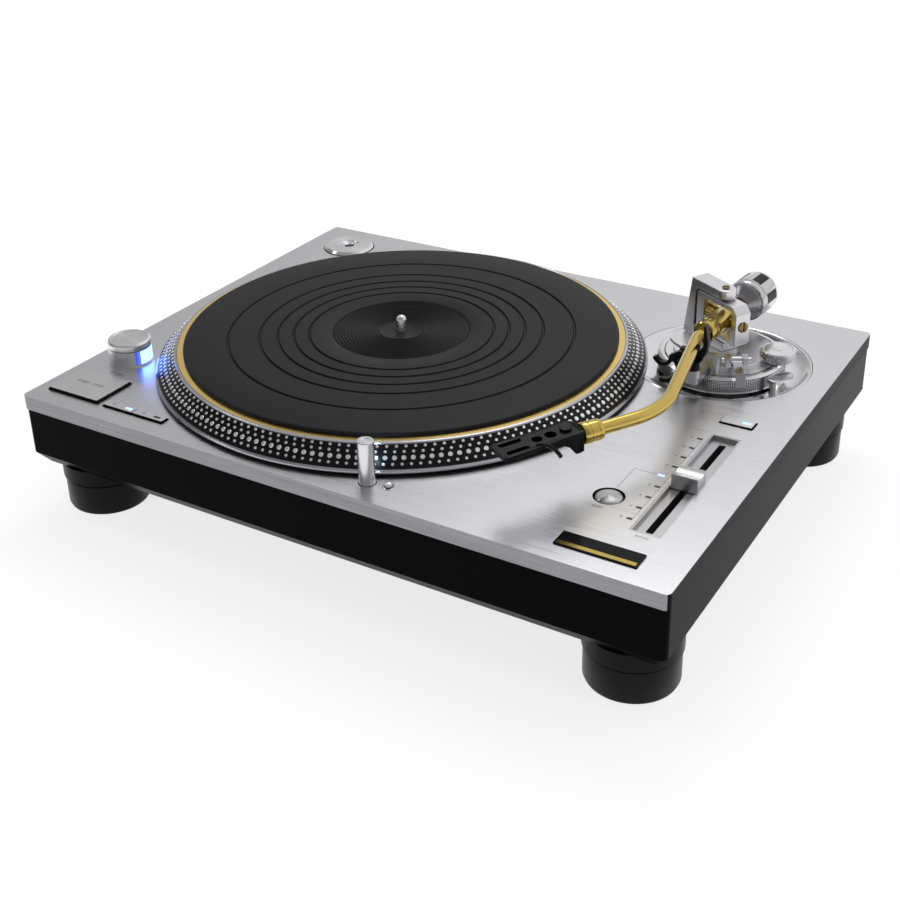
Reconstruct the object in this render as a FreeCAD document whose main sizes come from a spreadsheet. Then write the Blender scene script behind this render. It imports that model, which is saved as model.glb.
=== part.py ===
"""Direct drive turntable: plinth, platter and motor, tonearm on a height dial, controls and feet.

Millimetres. +X is the player's right, +Y its back, +Z up. The origin is the middle of the footprint,
on the surface that the feet stand on.
"""
import FreeCAD, Part
import math
import os
import re

import Sketcher

doc = FreeCAD.newDocument("Turntable")

SIZES = {
    # plinth
    "plinth_width": 453,
    "plinth_depth": 353,
    "plinth_corner": 4,
    "deck_height": 84,
    "plate_thick": 10,
    "case_inset": 0.5,
    "case_wall": 12,
    "case_roof": 5,
    "case_floor": 34,
    "lip_rise": 8,
    "lip_inset": 6,
    "base_thick": 4,
    "boss_radius": 7,
    "screw_radius": 2,
    "screw_head": 3.6,
    "screw_sink": 0.3,
    "screw_into_case": 13,
    "screw_hole": 14,
    "screw_from_side": 23.5,
    "screw_from_edge": 36.5,
    "screw_near": 60,
    "screw_side_y": 30,
    "seat_gap": 0.3,
    "turning_gap": 0.05,
    # feet
    "foot_from_side": 32.5,
    "foot_from_front": 33,
    "foot_from_back": 34.5,
    "foot_radius": 27.3,
    "collar_thick": 11,
    "foot_edge": 2.5,
    "collar_radius": 28.3,
    "stud_radius": 4,
    "stud_low": 8,
    "stud_into_case": 18,
    # platter and motor
    "pivot_reach_x": 194,
    "pivot_reach_y": 91.3,
    "spindle_radius": 3.6,
    "journal_radius": 4.5,
    "journal_end": 4.4,
    "spindle_rise": 10,
    "platter_radius": 166,
    "platter_gap": 2,
    "rim_top_radius": 153.5,
    "rim_foot_radius": 164.5,
    "rim_foot_height": 1.6,
    "brass_thick": 2.9,
    "web_thick": 6.5,
    "brass_radius": 150.7,
    "mat_thick": 2.6,
    "mat_radius": 146.5,
    "mat_rise": 18,
    "label_radius": 50,
    "label_drop": 1.2,
    "damping_thick": 2,
    "hub_radius": 20,
    "magnet_inner": 33,
    "magnet_outer": 56,
    "magnet_gap": 0.6,
    "motor_flange": 71.5,
    "flange_thick": 3,
    "motor_cup": 61.5,
    "cup_wall": 3.5,
    "cup_depth": 28,
    "winding_depth": 10,
    "board_thick": 1.6,
    "coil_ring": 44,
    "coil_radius": 8.5,
    "coil_bore": 3,
    "coil_count": 9,
    "coil_height": 10,
    "sleeve_radius": 9,
    "sleeve_depth": 36,
    "sleeve_drop": 2,
    # controls on the left
    "pod_from_left": 26.5,
    "pod_from_front": 74.5,
    "pod_radius": 14.6,
    "pod_body": 11.6,
    "pod_cap": 4.9,
    "pod_shaft": 3.5,
    "window_azimuth": 31,
    "window_sweep": 100,
    "window_rise": 1.5,
    "window_drop": 0.6,
    "lens_inner": 11,
    "start_from_left": 9,
    "start_width": 43.5,
    "start_from_front": 14.5,
    "start_length": 32.2,
    "start_raise": 2,
    "speed_from_left": 57.5,
    "speed_width": 25,
    "speed_from_front": 14,
    "speed_length": 6.6,
    "speed_raise": 1.4,
    "key_depth": 8.5,
    "key_gap": 0.3,
    # target light
    "target_reach": 75.7,
    "target_from_front": 17.8,
    "target_radius": 5,
    "target_rise": 27.5,
    "target_depth": 12,
    "target_ring": 6.3,
    "release_reach": 12.7,
    "release_from_front": 20.1,
    "release_radius": 2.4,
    "release_rise": 2.5,
    "release_dish": 4.3,
    "dish_depth": 0.8,
    # controls on the right
    "reset_from_right": 66.6,
    "reset_before_fader": 34.7,
    "reset_radius": 8.2,
    "reset_rise": 1.4,
    "reset_dome": 1.6,
    "fader_from_right": 33.7,
    "fader_from_front": 105.7,
    "tray_width": 18.8,
    "tray_length": 121.6,
    "tray_depth": 3,
    "slot_width": 4.3,
    "slot_length": 109,
    "knob_width": 16,
    "knob_length": 12,
    "knob_rise": 7,
    "knob_groove": 9,
    "knob_dip": 2,
    "stem_width": 3.6,
    "stem_length": 4,
    "range_from_right": 34,
    "range_past_fader": 80.2,
    "range_width": 20.6,
    "range_length": 9.7,
    "range_raise": 1,
    "badge_from_right": 48.1,
    "badge_from_front": 20,
    "badge_width": 48.2,
    "badge_length": 13.2,
    "badge_thick": 0.8,
    "adaptor_from_left": 37,
    "adaptor_from_back": 34,
    "adaptor_radius": 19.8,
    "adaptor_rise": 2.4,
    "pocket_depth": 5,
    # sockets at the back
    "bay_depth": 22,
    "bay_sill": 6,
    "bay_drop": 18,
    "bay_wall": 2,
    "power_from_left": 76.5,
    "power_width": 50,
    "signal_from_right": 98.5,
    "signal_width": 76,
    "phono_pitch": 24,
    "phono_radius": 4.1,
    "phono_pin_hole": 1.65,
    "phono_length": 12,
    # arm base
    "pivot_from_right": 74.9,
    "pivot_from_back": 89.8,
    "well_radius": 59.4,
    "well_dish": 57.5,
    "well_floor_radius": 45,
    "well_depth": 6,
    "base_flange": 35,
    "base_outer": 30,
    "base_inner": 26,
    "column_rise": 1,
    "dial_radius": 42,
    "dial_drop": 4.7,
    "dial_recess": 0.8,
    "dial_bore": 37.4,
    "dial_rise": 7,
    "deck_radius": 36.9,
    "deck_gap": 1,
    "deck_thick": 5,
    "bridge_step": 5.5,
    "bridge_thick": 3.5,
    "lock_azimuth": -25,
    "lock_reach": 48,
    "lock_post": 3,
    "skate_reach_x": 36.4,
    "skate_reach_y": 5.3,
    "skate_radius": 11.5,
    "skate_cap": 9,
    "skate_sink": 1.3,
    "skate_tier": 2.7,
    "skate_cap_rise": 2.4,
    # boards in the case
    "board_margin": 6,
    "board_past_keys": 30,
    "board_past_pod": 24,
    "supply_left": 46,
    "supply_right": 34,
    "supply_from_back": 44.5,
    "supply_length": 82,
    "supply_margin": 8,
    "supply_height": 24,
    "transformer_width": 50,
    "capacitor_radius": 8,
    "capacitor_pitch": 20,
    "capacitor_drop": 3,
    # cueing
    "cue_place_x": 18.4,
    "cue_place_y": 23.7,
    "cue_azimuth": -61,
    "cue_axle_rise": 3.2,
    "cue_axle": 2.2,
    "cue_reach": 21,
    "lifter_radius": 34,
    "lifter_width": 4,
    "lifter_drop": 11.1,
    "lifter_thick": 2,
    "lifter_rod": 2,
    "lifter_rod_azimuth": -75,
    # gimbal
    "arm_rise": 31.5,
    "gimbal_azimuth": -30.2,
    "yoke_gap": 1.3,
    "yoke_bar": 6,
    "yoke_half": 6.5,
    "yoke_back": 34,
    "yoke_front": 8,
    "yoke_inner": 23,
    "yoke_corner": 3.5,
    "yoke_bevel": 2.5,
    "yoke_shoulder": 27,
    "ring_clearance": 0.6,
    "ring_half": 6,
    "ring_wall": 5,
    "ring_tail": 21.5,
    "ring_edge": 2,
    "ring_bevel": 2.2,
    "ring_shoulder": 4.8,
    "ring_window": 14,
    "ring_window_half": 10,
    "ring_drop": 14,
    "ring_rise": 13.7,
    "pin_radius": 2,
    "pin_hole": 3,
    "pin_end": 0.5,
    "pin_head": 1.6,
    "cross_pin_radius": 1.5,
    "cross_head": 0.9,
    "cross_head_radius": 3.8,
    "cross_pin_hole": 4.5,
    "cross_radius": 5,
    # arm
    "barrel_azimuth": -95,
    "barrel_radius": 7.5,
    "barrel_front": 30,
    "barrel_back": 8,
    "shaft_radius": 4.5,
    "shaft_end": 46,
    "tube_radius": 4.1,
    "tube_wall": 0.7,
    "tube_start": 22,
    "first_bend_reach": 38.2,
    "first_bend_angle": 16.5,
    "first_bend_radius": 30,
    "tube_long": 102.7,
    "second_bend_angle": -42.5,
    "second_bend_radius": 58,
    "tube_short": 50.3,
    "collar_outer": 6.5,
    "collar_length": 13,
    "shell_front": 60,
    "shell_back": 8.5,
    "shell_half": 9.5,
    "shell_thick": 2.6,
    "shell_skirt": 5,
    "cartridge_pitch": 12.7,
    "cartridge_slot": 2.7,
    "neck_radius": 4.6,
    "lift_reach": 14,
    # counterweight
    "weight_front": 31,
    "weight_back": 54,
    "weight_radius": 14,
    "scale_front": 22,
    "scale_back": 30.7,
    "scale_nose": 6.6,
    "scale_radius": 12.5,
    # arm rest
    "rest_place_x": 0.8,
    "rest_place_y": 50.7,
    "rest_thick": 4.5,
    "rest_post": 4,
    "rest_foot": 5,
    "rest_foot_rise": 4.9,
    "clamp_thick": 4,
    "clamp_open": 150,
    "clamp_hinge_x": 8.5,
    "clamp_hinge_drop": 7.8,
    "clamp_tab": 11.6,
}

PLACES = {
    "foot_x": "plinth_width / 2 - foot_from_side",
    "foot_front": "foot_from_front - plinth_depth / 2",
    "foot_back": "plinth_depth / 2 - foot_from_back",
    "screw_x": "plinth_width / 2 - screw_from_side",
    "screw_y": "plinth_depth / 2 - screw_from_edge",
    "foot_split": "case_floor - collar_thick",
    "stud_high": "case_floor + stud_into_case",
    "spindle_x": "pivot_x - pivot_reach_x",
    "spindle_y": "pivot_y - pivot_reach_y",
    "mat_top": "deck_height + mat_rise",
    "brass_top": "mat_top - mat_thick",
    "platter_face": "brass_top - brass_thick",
    "platter_low": "deck_height + platter_gap",
    "spindle_top": "mat_top + spindle_rise",
    "magnet_low": "deck_height + magnet_gap",
    "cup_low": "deck_height - cup_depth",
    "board_level": "deck_height - winding_depth",
    "coil_top": "board_level + coil_height",
    "sleeve_low": "deck_height - sleeve_depth",
    "sleeve_top": "deck_height - sleeve_drop",
    "pod_x": "pod_from_left - plinth_width / 2",
    "pod_y": "pod_from_front - plinth_depth / 2",
    "pod_split": "deck_height + pod_body",
    "pod_top": "pod_split + pod_cap",
    "window_top": "pod_split - window_drop",
    "start_left": "start_from_left - plinth_width / 2",
    "start_right": "start_left + start_width",
    "start_front": "start_from_front - plinth_depth / 2",
    "start_back": "start_front + start_length",
    "speed_left": "speed_from_left - plinth_width / 2",
    "speed_split": "speed_left + speed_width",
    "speed_right": "speed_split + speed_width",
    "speed_front": "speed_from_front - plinth_depth / 2",
    "speed_back": "speed_front + speed_length",
    "key_low": "deck_height - key_depth",
    "target_x": "spindle_x + target_reach",
    "target_y": "target_from_front - plinth_depth / 2",
    "target_top": "deck_height + target_rise",
    "target_low": "deck_height - target_depth",
    "release_x": "target_x + release_reach",
    "release_y": "release_from_front - plinth_depth / 2",
    "release_top": "deck_height + release_rise",
    "fader_x": "plinth_width / 2 - fader_from_right",
    "fader_y": "fader_from_front - plinth_depth / 2",
    "reset_x": "plinth_width / 2 - reset_from_right",
    "reset_y": "fader_y - reset_before_fader",
    "reset_top": "deck_height + reset_rise",
    "knob_top": "deck_height + knob_rise",
    "range_x": "plinth_width / 2 - range_from_right",
    "range_y": "fader_y + range_past_fader",
    "badge_x": "plinth_width / 2 - badge_from_right",
    "badge_y": "badge_from_front - plinth_depth / 2",
    "adaptor_x": "adaptor_from_left - plinth_width / 2",
    "adaptor_y": "plinth_depth / 2 - adaptor_from_back",
    "bay_low": "case_floor + bay_sill",
    "bay_high": "deck_height - bay_drop",
    "power_x": "power_from_left - plinth_width / 2",
    "signal_x": "plinth_width / 2 - signal_from_right",
    "pivot_x": "plinth_width / 2 - pivot_from_right",
    "pivot_y": "plinth_depth / 2 - pivot_from_back",
    "base_top": "deck_height + column_rise",
    "dial_low": "deck_height - dial_drop",
    "dial_step": "deck_height - dial_recess",
    "dial_top": "deck_height + dial_rise",
    "deck_low": "base_top + deck_gap",
    "bridge_low": "deck_low + bridge_step",
    "bridge_top": "bridge_low + bridge_thick",
    "skate_x": "pivot_x + skate_reach_x",
    "skate_y": "pivot_y + skate_reach_y",
    "skate_low": "bridge_top - skate_sink",
    "skate_step": "skate_low + skate_tier",
    "skate_top": "skate_step + skate_cap_rise",
    "cue_x": "pivot_x + cue_place_x",
    "cue_y": "pivot_y - cue_place_y",
    "cue_axle_height": "bridge_top + cue_axle_rise",
    "lifter_top": "arm_height - lifter_drop",
    "arm_height": "deck_height + arm_rise",
    "ring_low": "arm_height - ring_drop",
    "ring_high": "arm_height + ring_rise",
    "rest_x": "pivot_x - rest_place_x",
    "rest_y": "pivot_y - rest_place_y",
    "rest_foot_top": "bridge_top + rest_foot_rise",
    "yoke_top": "ring_high + yoke_gap + yoke_bar",
}

sheet = doc.addObject("Spreadsheet::Sheet", "Sizes")
for row, (name, number) in enumerate(SIZES.items(), 1):
    sheet.set(f"A{row}", name)
    sheet.set(f"B{row}", str(number))
    sheet.setAlias(f"B{row}", name)
for row, name in enumerate(PLACES, 1):
    sheet.set(f"D{row}", name)
    sheet.setAlias(f"E{row}", name)
for row, formula in enumerate(PLACES.values(), 1):
    sheet.set(f"E{row}", f"={formula}")
doc.recompute()

parts = []


def link(formula):
    """Point the words of a formula at the cells of the sheet."""
    return re.sub(r"[a-z]\w*", lambda m: "Sizes." + m.group() if m.group() in {**SIZES, **PLACES} else m.group(),
                  str(formula))


def value(formula):
    """What a formula comes to."""
    return float(sheet.evalExpression(link(formula)))


def bind(item, name, formula):
    """Tie a property of an object to the sheet."""
    item.setExpression(name, link(formula))


def place(item, x=0, y=0, z=0, azimuth=0, axis="0; 0; 1"):
    """Tie an object's place and its turn about an axis to the sheet."""
    bind(item, "Placement", f"placement(vector({x}; {y}; {z}); rotation(vector({axis}); {azimuth}))")


def fix_point(sketch, edge, end, x, y):
    """Bind one end of a sketch edge to a place."""
    for kind, formula in (("DistanceX", x), ("DistanceY", y)):
        rule = sketch.addConstraint(Sketcher.Constraint(kind, -1, 1, edge, end, value(formula)))
        bind(sketch, f"Constraints[{rule}]", formula)


def arc_between(start, stop, radius):
    """The shorter arc from start to stop, anticlockwise when the radius is positive."""
    chord = stop - start
    left = FreeCAD.Vector(-chord.y, chord.x, 0).normalize() * math.copysign(1, radius)
    rise = math.sqrt(max(radius**2 - (chord.Length / 2) ** 2, 0))
    centre = (start + stop) * 0.5 + left * rise
    return Part.Arc(start, centre - left * abs(radius), stop)


def path(points, closed=True):
    """An outline through points (x, y), or (x, y, radius) where an arc leads to the next one."""

    def draw(sketch):
        places = [FreeCAD.Vector(value(p[0]), value(p[1]), 0) for p in points]
        first = sketch.GeometryCount
        ends = []
        last = len(points) if closed else len(points) - 1
        for number in range(last):
            start = places[number]
            stop = places[(number + 1) % len(points)]
            if len(points[number]) == 3:
                radius = value(points[number][2])
                edge = sketch.addGeometry(arc_between(start, stop, radius))
                rule = sketch.addConstraint(Sketcher.Constraint("Radius", edge, abs(radius)))
                bind(sketch, f"Constraints[{rule}]", f"abs({points[number][2]})")
                ends.append((1, 2) if radius > 0 else (2, 1))
            else:
                sketch.addGeometry(Part.LineSegment(start, stop))
                ends.append((1, 2))
        for number in range(last):
            fix_point(sketch, first + number, ends[number][0], points[number][0], points[number][1])
            after = (number + 1) % len(points)
            if after < last:
                join = Sketcher.Constraint("Coincident", first + number, ends[number][1], first + after, ends[after][0])
                sketch.addConstraint(join)
            else:
                fix_point(sketch, first + number, ends[number][1], points[after][0], points[after][1])

    return draw


def arc_points(x, y, radius, *angles):
    """Points for path() along an arc about (x, y), turning from the first angle to the last."""
    turn = radius if angles[-1] > angles[0] else f"-({radius})"
    points = [(f"{x} + ({radius}) * cos({a})", f"{y} + ({radius}) * sin({a})", turn) for a in angles]
    return [*points[:-1], points[-1][:2]]


def box(x_low, x_high, y_low, y_high, corner=None):
    """A rectangle, with rounded corners if a radius is given."""
    if corner is None:
        return path([(x_low, y_low), (x_high, y_low), (x_high, y_high), (x_low, y_high)])
    near_x, far_x = f"{x_low} + ({corner})", f"{x_high} - ({corner})"
    near_y, far_y = f"{y_low} + ({corner})", f"{y_high} - ({corner})"
    return path(
        [
            (near_x, y_low),
            (far_x, y_low, corner),
            (x_high, near_y),
            (x_high, far_y, corner),
            (far_x, y_high),
            (near_x, y_high, corner),
            (x_low, far_y),
            (x_low, near_y, corner),
        ]
    )


def middle_box(x, y, width, length, corner=None):
    """A rectangle about a middle point."""
    return box(
        f"{x} - ({width}) / 2", f"{x} + ({width}) / 2", f"{y} - ({length}) / 2", f"{y} + ({length}) / 2", corner
    )


def circle(x, y, radius):
    """A full circle."""

    def draw(sketch):
        middle = FreeCAD.Vector(value(x), value(y), 0)
        edge = sketch.addGeometry(Part.Circle(middle, FreeCAD.Vector(0, 0, 1), value(radius)))
        fix_point(sketch, edge, 3, x, y)
        rule = sketch.addConstraint(Sketcher.Constraint("Radius", edge, value(radius)))
        bind(sketch, f"Constraints[{rule}]", radius)

    return draw


def level(formula):
    """A test for edges that lie wholly at one height."""
    height = value(formula)
    return lambda edge: all(abs(v.Z - height) < 1e-4 for v in edge.Vertexes)


class Piece:
    """A sub-part drawn with sketches on the origin planes of its own body."""

    def __init__(self, label, **where):
        self.label = label
        self.body = doc.addObject("PartDesign::Body", label)
        self.body.Label = label
        self.volume = 0
        place(self.body, **where)
        parts.append(self.body)

    def feature(self, kind):
        """A new feature of this body."""
        return self.body.newObject(kind, f"{self.label}_{kind.split('::')[1]}")

    def sketch(self, plane, height, loops, turn=0):
        """A sketch on an origin plane, raised along its normal and turned about its own upright axis."""
        sketch = self.feature("Sketcher::SketchObject")
        role = plane + "_Plane"
        support = next(item for item in self.body.Origin.OriginFeatures if item.Role == role)
        sketch.AttachmentSupport = [(support, "")]
        sketch.MapMode = "FlatFace"
        away = f"vector(({height}) * sin({turn}); 0; ({height}) * cos({turn}))"
        bind(sketch, "AttachmentOffset", f"placement({away}; rotation(vector(0; 1; 0); {turn}))")
        for draw in loops:
            draw(sketch)
        doc.recompute()
        return sketch

    def run(self, feature, cuts):
        """Work a feature out, and see that it adds or cuts."""
        doc.recompute()
        if feature.Shape.isNull():
            raise RuntimeError(f"{feature.Label} has no shape: {feature.getStatusString()}")
        grown = feature.Shape.Volume - self.volume
        if (grown > -1e-6) if cuts else (grown < 1e-6):
            raise RuntimeError(f"{feature.Label} changes the volume by {grown:.3f}")
        self.volume += grown

    def pad(self, loops, low, high, plane="XY", turn=0):
        """Grow the loops from one height to another along the plane's normal."""
        feature = self.feature("PartDesign::Pad")
        feature.Profile = self.sketch(plane, low, loops, turn)
        bind(feature, "Length", f"({high}) - ({low})")
        self.run(feature, cuts=False)
        return self

    def pocket(self, loops, low, high, plane="XY", turn=0):
        """Cut the loops out between two heights along the plane's normal."""
        feature = self.feature("PartDesign::Pocket")
        feature.Profile = self.sketch(plane, high, loops, turn)
        bind(feature, "Length", f"({high}) - ({low})")
        self.run(feature, cuts=True)
        return self

    def turned(self, points, axis="V", sweep=360, cuts=False):
        """Spin an outline in the XZ plane about its upright (V) or level (H) axis."""
        feature = self.feature("PartDesign::Groove" if cuts else "PartDesign::Revolution")
        sketch = self.sketch("XZ", 0, [path(points)])
        feature.Profile = sketch
        feature.ReferenceAxis = (sketch, [axis + "_Axis"])
        bind(feature, "Angle", sweep)
        self.run(feature, cuts)
        return self

    def loft(self, low_loop, low, high_loop, high):
        """Join two outlines at two heights with straight sides."""
        feature = self.feature("PartDesign::AdditiveLoft")
        feature.Profile = self.sketch("XY", low, [low_loop])
        feature.Sections = [self.sketch("XY", high, [high_loop])]
        feature.Ruled = True
        self.run(feature, cuts=False)
        return self

    def dress(self, kind, size, picked):
        """Round (Fillet) or bevel (Chamfer) the picked edges."""
        base = self.body.Tip
        names = [f"Edge{n}" for n, edge in enumerate(base.Shape.Edges, 1) if picked(edge)]
        feature = self.feature("PartDesign::" + kind)
        feature.Base = (base, names)
        bind(feature, "Radius" if kind == "Fillet" else "Size", size)
        self.run(feature, cuts=True)
        return self


def rod(name, x, y, low, high, radius, bore=None):
    """An upright cylinder, or a tube if a bore is given."""
    outer = doc.addObject("Part::Cylinder", name)
    bind(outer, "Radius", radius)
    bind(outer, "Height", f"({high}) - ({low})")
    place(outer, x, y, low)
    if bore is None:
        return outer
    inner = doc.addObject("Part::Cylinder", name + "_bore")
    bind(inner, "Radius", bore)
    bind(inner, "Height", f"({high}) - ({low}) + 2")
    place(inner, x, y, f"({low}) - 1")
    cut = doc.addObject("Part::Cut", name + "_tube")
    cut.Base = outer
    cut.Tool = inner
    return cut


def lying_rod(name, x, y, z, azimuth, start, stop, radius):
    """A level cylinder that runs along an azimuth, between two distances from a point."""
    item = doc.addObject("Part::Cylinder", name)
    bind(item, "Radius", radius)
    bind(item, "Height", f"({stop}) - ({start})")
    x_start = f"{x} + ({start}) * cos({azimuth})"
    y_start = f"{y} + ({start}) * sin({azimuth})"
    place(item, x_start, y_start, z, azimuth=90, axis=f"-sin({azimuth}); cos({azimuth}); 0")
    return item


def group(label, members):
    """Like solids that share one node."""
    item = doc.addObject("Part::Compound", label)
    item.Label = label
    item.Links = members
    parts.append(item)
    return item


def fused(label, members):
    """One solid made of primitives."""
    item = doc.addObject("Part::MultiFuse", label)
    item.Label = label
    item.Shapes = members
    item.Refine = True
    parts.append(item)
    return item


half_width = "plinth_width / 2"
half_depth = "plinth_depth / 2"
under_plate = "(deck_height - plate_thick)"
under_roof = f"({under_plate} - case_roof)"
feet = {
    "front_left": ("-foot_x", "foot_front"),
    "front_right": ("foot_x", "foot_front"),
    "back_left": ("-foot_x", "foot_back"),
    "back_right": ("foot_x", "foot_back"),
}
base_screw_places = [
    ("-screw_x", "-screw_side_y"),
    ("screw_x", "screw_side_y"),
    ("-screw_near", "-screw_y"),
    ("2 * screw_near", "-screw_y"),
    ("-screw_near", "screw_y"),
    ("screw_near", "screw_y"),
]


def make_top_panel():
    """The thick brushed plate, with an opening for each thing that comes up through it."""
    start = box("start_left", "start_right", "start_front", "start_back", 1)
    speeds = box("speed_left", "speed_right", "speed_front", "speed_back", 1)
    plate = Piece("top_panel")
    plate.pad(
        [
            box(f"-{half_width}", half_width, f"-{half_depth}", half_depth, "plinth_corner"),
            circle("spindle_x", "spindle_y", "motor_flange + seat_gap"),
            circle("pivot_x", "pivot_y", "well_radius + seat_gap"),
            start,
            speeds,
            circle("pod_x", "pod_y", "pod_shaft + 1"),
            circle("target_x", "target_y", "target_radius + seat_gap"),
            circle("release_x", "release_y", "release_radius + key_gap"),
            circle("reset_x", "reset_y", "reset_radius + key_gap"),
            middle_box("fader_x", "fader_y", "tray_width", "tray_length", 1),
            middle_box("range_x", "range_y", "range_width", "range_length", 0.8),
        ],
        under_plate,
        "deck_height",
    )
    plate.pocket([circle("adaptor_x", "adaptor_y", "adaptor_radius + seat_gap")],
                 "deck_height - pocket_depth", "deck_height")
    plate.pocket([circle("target_x", "target_y", "target_ring")], "deck_height - dish_depth", "deck_height")
    plate.pocket([circle("release_x", "release_y", "release_dish")], "deck_height - dish_depth", "deck_height")


def make_chassis():
    """The black case under the plate: a hollow moulding that narrows to its underside."""
    x_side = f"({half_width} - case_inset)"
    y_side = f"({half_depth} - case_inset)"
    lip_top = "case_floor + lip_rise"
    outer = box(f"-{x_side}", x_side, f"-{y_side}", y_side, "plinth_corner")
    inner = box(f"-{x_side} + lip_inset", f"{x_side} - lip_inset", f"-{y_side} + lip_inset",
                f"{y_side} - lip_inset", "plinth_corner")
    case = Piece("chassis")
    case.pad([outer], lip_top, under_plate)
    case.loft(inner, "case_floor", outer, lip_top)
    x_room = f"({x_side} - case_wall)"
    y_room = f"({y_side} - case_wall)"
    case.pocket([box(f"-{x_room}", x_room, f"-{y_room}", y_room, 3)], "case_floor", under_roof)
    bosses = [circle(x, y, "boss_radius") for x, y in [*feet.values(), *base_screw_places]]
    case.pad(bosses, "case_floor + base_thick", under_roof)
    case.pocket([circle(x, y, "stud_radius + turning_gap") for x, y in feet.values()], "case_floor", "stud_high + 1")
    screws = [circle(x, y, "screw_radius + turning_gap") for x, y in base_screw_places]
    case.pocket(screws, "case_floor", "case_floor + screw_hole")
    case.pocket([circle("spindle_x", "spindle_y", "motor_cup + seat_gap")], under_roof, under_plate)
    case.pocket([circle("pivot_x", "pivot_y", "base_inner + 1")], under_roof, under_plate)
    case.pocket([circle("pod_x", "pod_y", "pod_shaft + 1")], under_roof, under_plate)
    case.pocket([circle("target_x", "target_y", "target_radius + seat_gap")], under_roof, under_plate)
    case.pocket([middle_box("fader_x", "fader_y", "tray_width", "tray_length", 1)], under_roof, under_plate)
    for x, width in (("power_x", "power_width"), ("signal_x", "signal_width")):
        window = box(f"{x} - {width} / 2", f"{x} + {width} / 2", "bay_low", "bay_high")
        case.pocket([window], f"-{half_depth} - 1", f"-{y_room} + 1", plane="XZ")


def make_base():
    """The bottom cover inside the case walls, and the screws that hold it to the bosses."""
    x_side = f"({half_width} - case_inset - case_wall - seat_gap)"
    y_side = f"({half_depth} - case_inset - case_wall - seat_gap)"
    cover = Piece("base_cover")
    holes = [circle(x, y, "stud_radius + seat_gap") for x, y in feet.values()]
    holes += [circle(x, y, "screw_radius + seat_gap") for x, y in base_screw_places]
    cover.pad([box(f"-{x_side}", x_side, f"-{y_side}", y_side, 3), *holes],
              "case_floor", "case_floor + base_thick")
    cover.pocket([circle(x, y, "screw_head + seat_gap") for x, y in base_screw_places],
                 "case_floor", "case_floor + base_thick / 2")
    screws = []
    for number, (x, y) in enumerate(base_screw_places, 1):
        shank = rod(f"base_shank_{number}", x, y, "case_floor + screw_sink", "case_floor + screw_into_case",
                    "screw_radius")
        head = rod(f"base_head_{number}", x, y, "case_floor + screw_sink", "case_floor + base_thick / 2",
                   "screw_head")
        screw = doc.addObject("Part::Fuse", f"base_screw_{number}")
        screw.Base = shank
        screw.Tool = head
        screws.append(screw)
    group("base_screws", screws)


def make_feet():
    """Four feet: a collar and stud fixed to the case, and a cap that screws down the stud."""
    collars = []
    for corner, (x, y) in feet.items():
        disc = rod(f"collar_{corner}", x, y, "foot_split", "case_floor", "collar_radius")
        stud = rod(f"stud_{corner}", x, y, "stud_low", "stud_high", "stud_radius")
        collar = doc.addObject("Part::Fuse", f"foot_collar_{corner}")
        collar.Base = disc
        collar.Tool = stud
        collars.append(collar)
    group("foot_collars", collars)
    for corner, (x, y) in feet.items():
        cap = Piece(f"foot_{corner}", x=x, y=y)
        bore = "stud_radius + turning_gap"
        cap.turned(
            [
                (0, 0),
                ("foot_radius - foot_edge", 0),
                ("foot_radius", "foot_edge"),
                ("foot_radius", "foot_split - seat_gap"),
                (bore, "foot_split - seat_gap"),
                (bore, "stud_low - 4"),
                (0, "stud_low - 4"),
            ]
        )


def make_platter():
    """Everything that turns with the spindle."""
    where = {"x": "spindle_x", "y": "spindle_y"}
    web_low = "platter_face - web_thick"
    bore = "journal_radius + seat_gap"
    casting = Piece("platter", **where)
    casting.turned(
        [
            (bore, web_low),
            ("brass_radius - 1", web_low),
            ("brass_radius + 2", "platter_low"),
            ("platter_radius", "platter_low"),
            ("platter_radius", "platter_low + rim_foot_height"),
            ("rim_foot_radius", "platter_low + rim_foot_height + 0.6"),
            ("rim_top_radius", "brass_top - 1"),
            ("rim_top_radius - 0.6", "brass_top"),
            ("brass_radius + 0.1", "brass_top"),
            ("brass_radius + 0.1", "platter_face"),
            (bore, "platter_face"),
        ]
    )
    brass = Piece("platter_top_ring", **where)
    brass.turned(
        [
            (bore, "platter_face"),
            ("brass_radius", "platter_face"),
            ("brass_radius", "brass_top - 0.3"),
            ("brass_radius - 0.3", "brass_top"),
            (bore, "brass_top"),
        ]
    )
    mat = Piece("rubber_mat", **where)
    mat.turned(
        [
            (bore, "brass_top"),
            ("mat_radius - 0.4", "brass_top"),
            ("mat_radius", "brass_top + 0.4"),
            ("mat_radius", "mat_top - 0.7"),
            ("mat_radius - 0.7", "mat_top"),
            ("label_radius", "mat_top"),
            ("label_radius - 1", "mat_top - label_drop"),
            (bore, "mat_top - label_drop"),
        ]
    )
    damping = Piece("platter_damping", **where)
    damping.turned(
        [
            ("magnet_outer + 10", f"{web_low} - damping_thick"),
            ("brass_radius - 8", f"{web_low} - damping_thick"),
            ("brass_radius - 8", web_low),
            ("magnet_outer + 10", web_low),
        ]
    )
    magnet = Piece("rotor_magnet", **where)
    magnet.turned([("magnet_inner", "magnet_low"), ("magnet_outer", "magnet_low"),
                   ("magnet_outer", web_low), ("magnet_inner", web_low)])
    spindle = Piece("spindle", **where)
    spindle.turned(
        [
            (0, "sleeve_low + journal_end"),
            ("journal_radius - 0.5", "sleeve_low + journal_end"),
            ("journal_radius", "sleeve_low + journal_end + 0.5"),
            ("journal_radius", "magnet_low"),
            ("hub_radius", "magnet_low"),
            ("hub_radius", web_low),
            ("journal_radius", web_low),
            ("journal_radius", "mat_top - label_drop"),
            ("spindle_radius", "mat_top - label_drop"),
            ("spindle_radius", "spindle_top - 2"),
            ("spindle_radius - 1.6", "spindle_top"),
            (0, "spindle_top"),
        ]
    )


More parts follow.
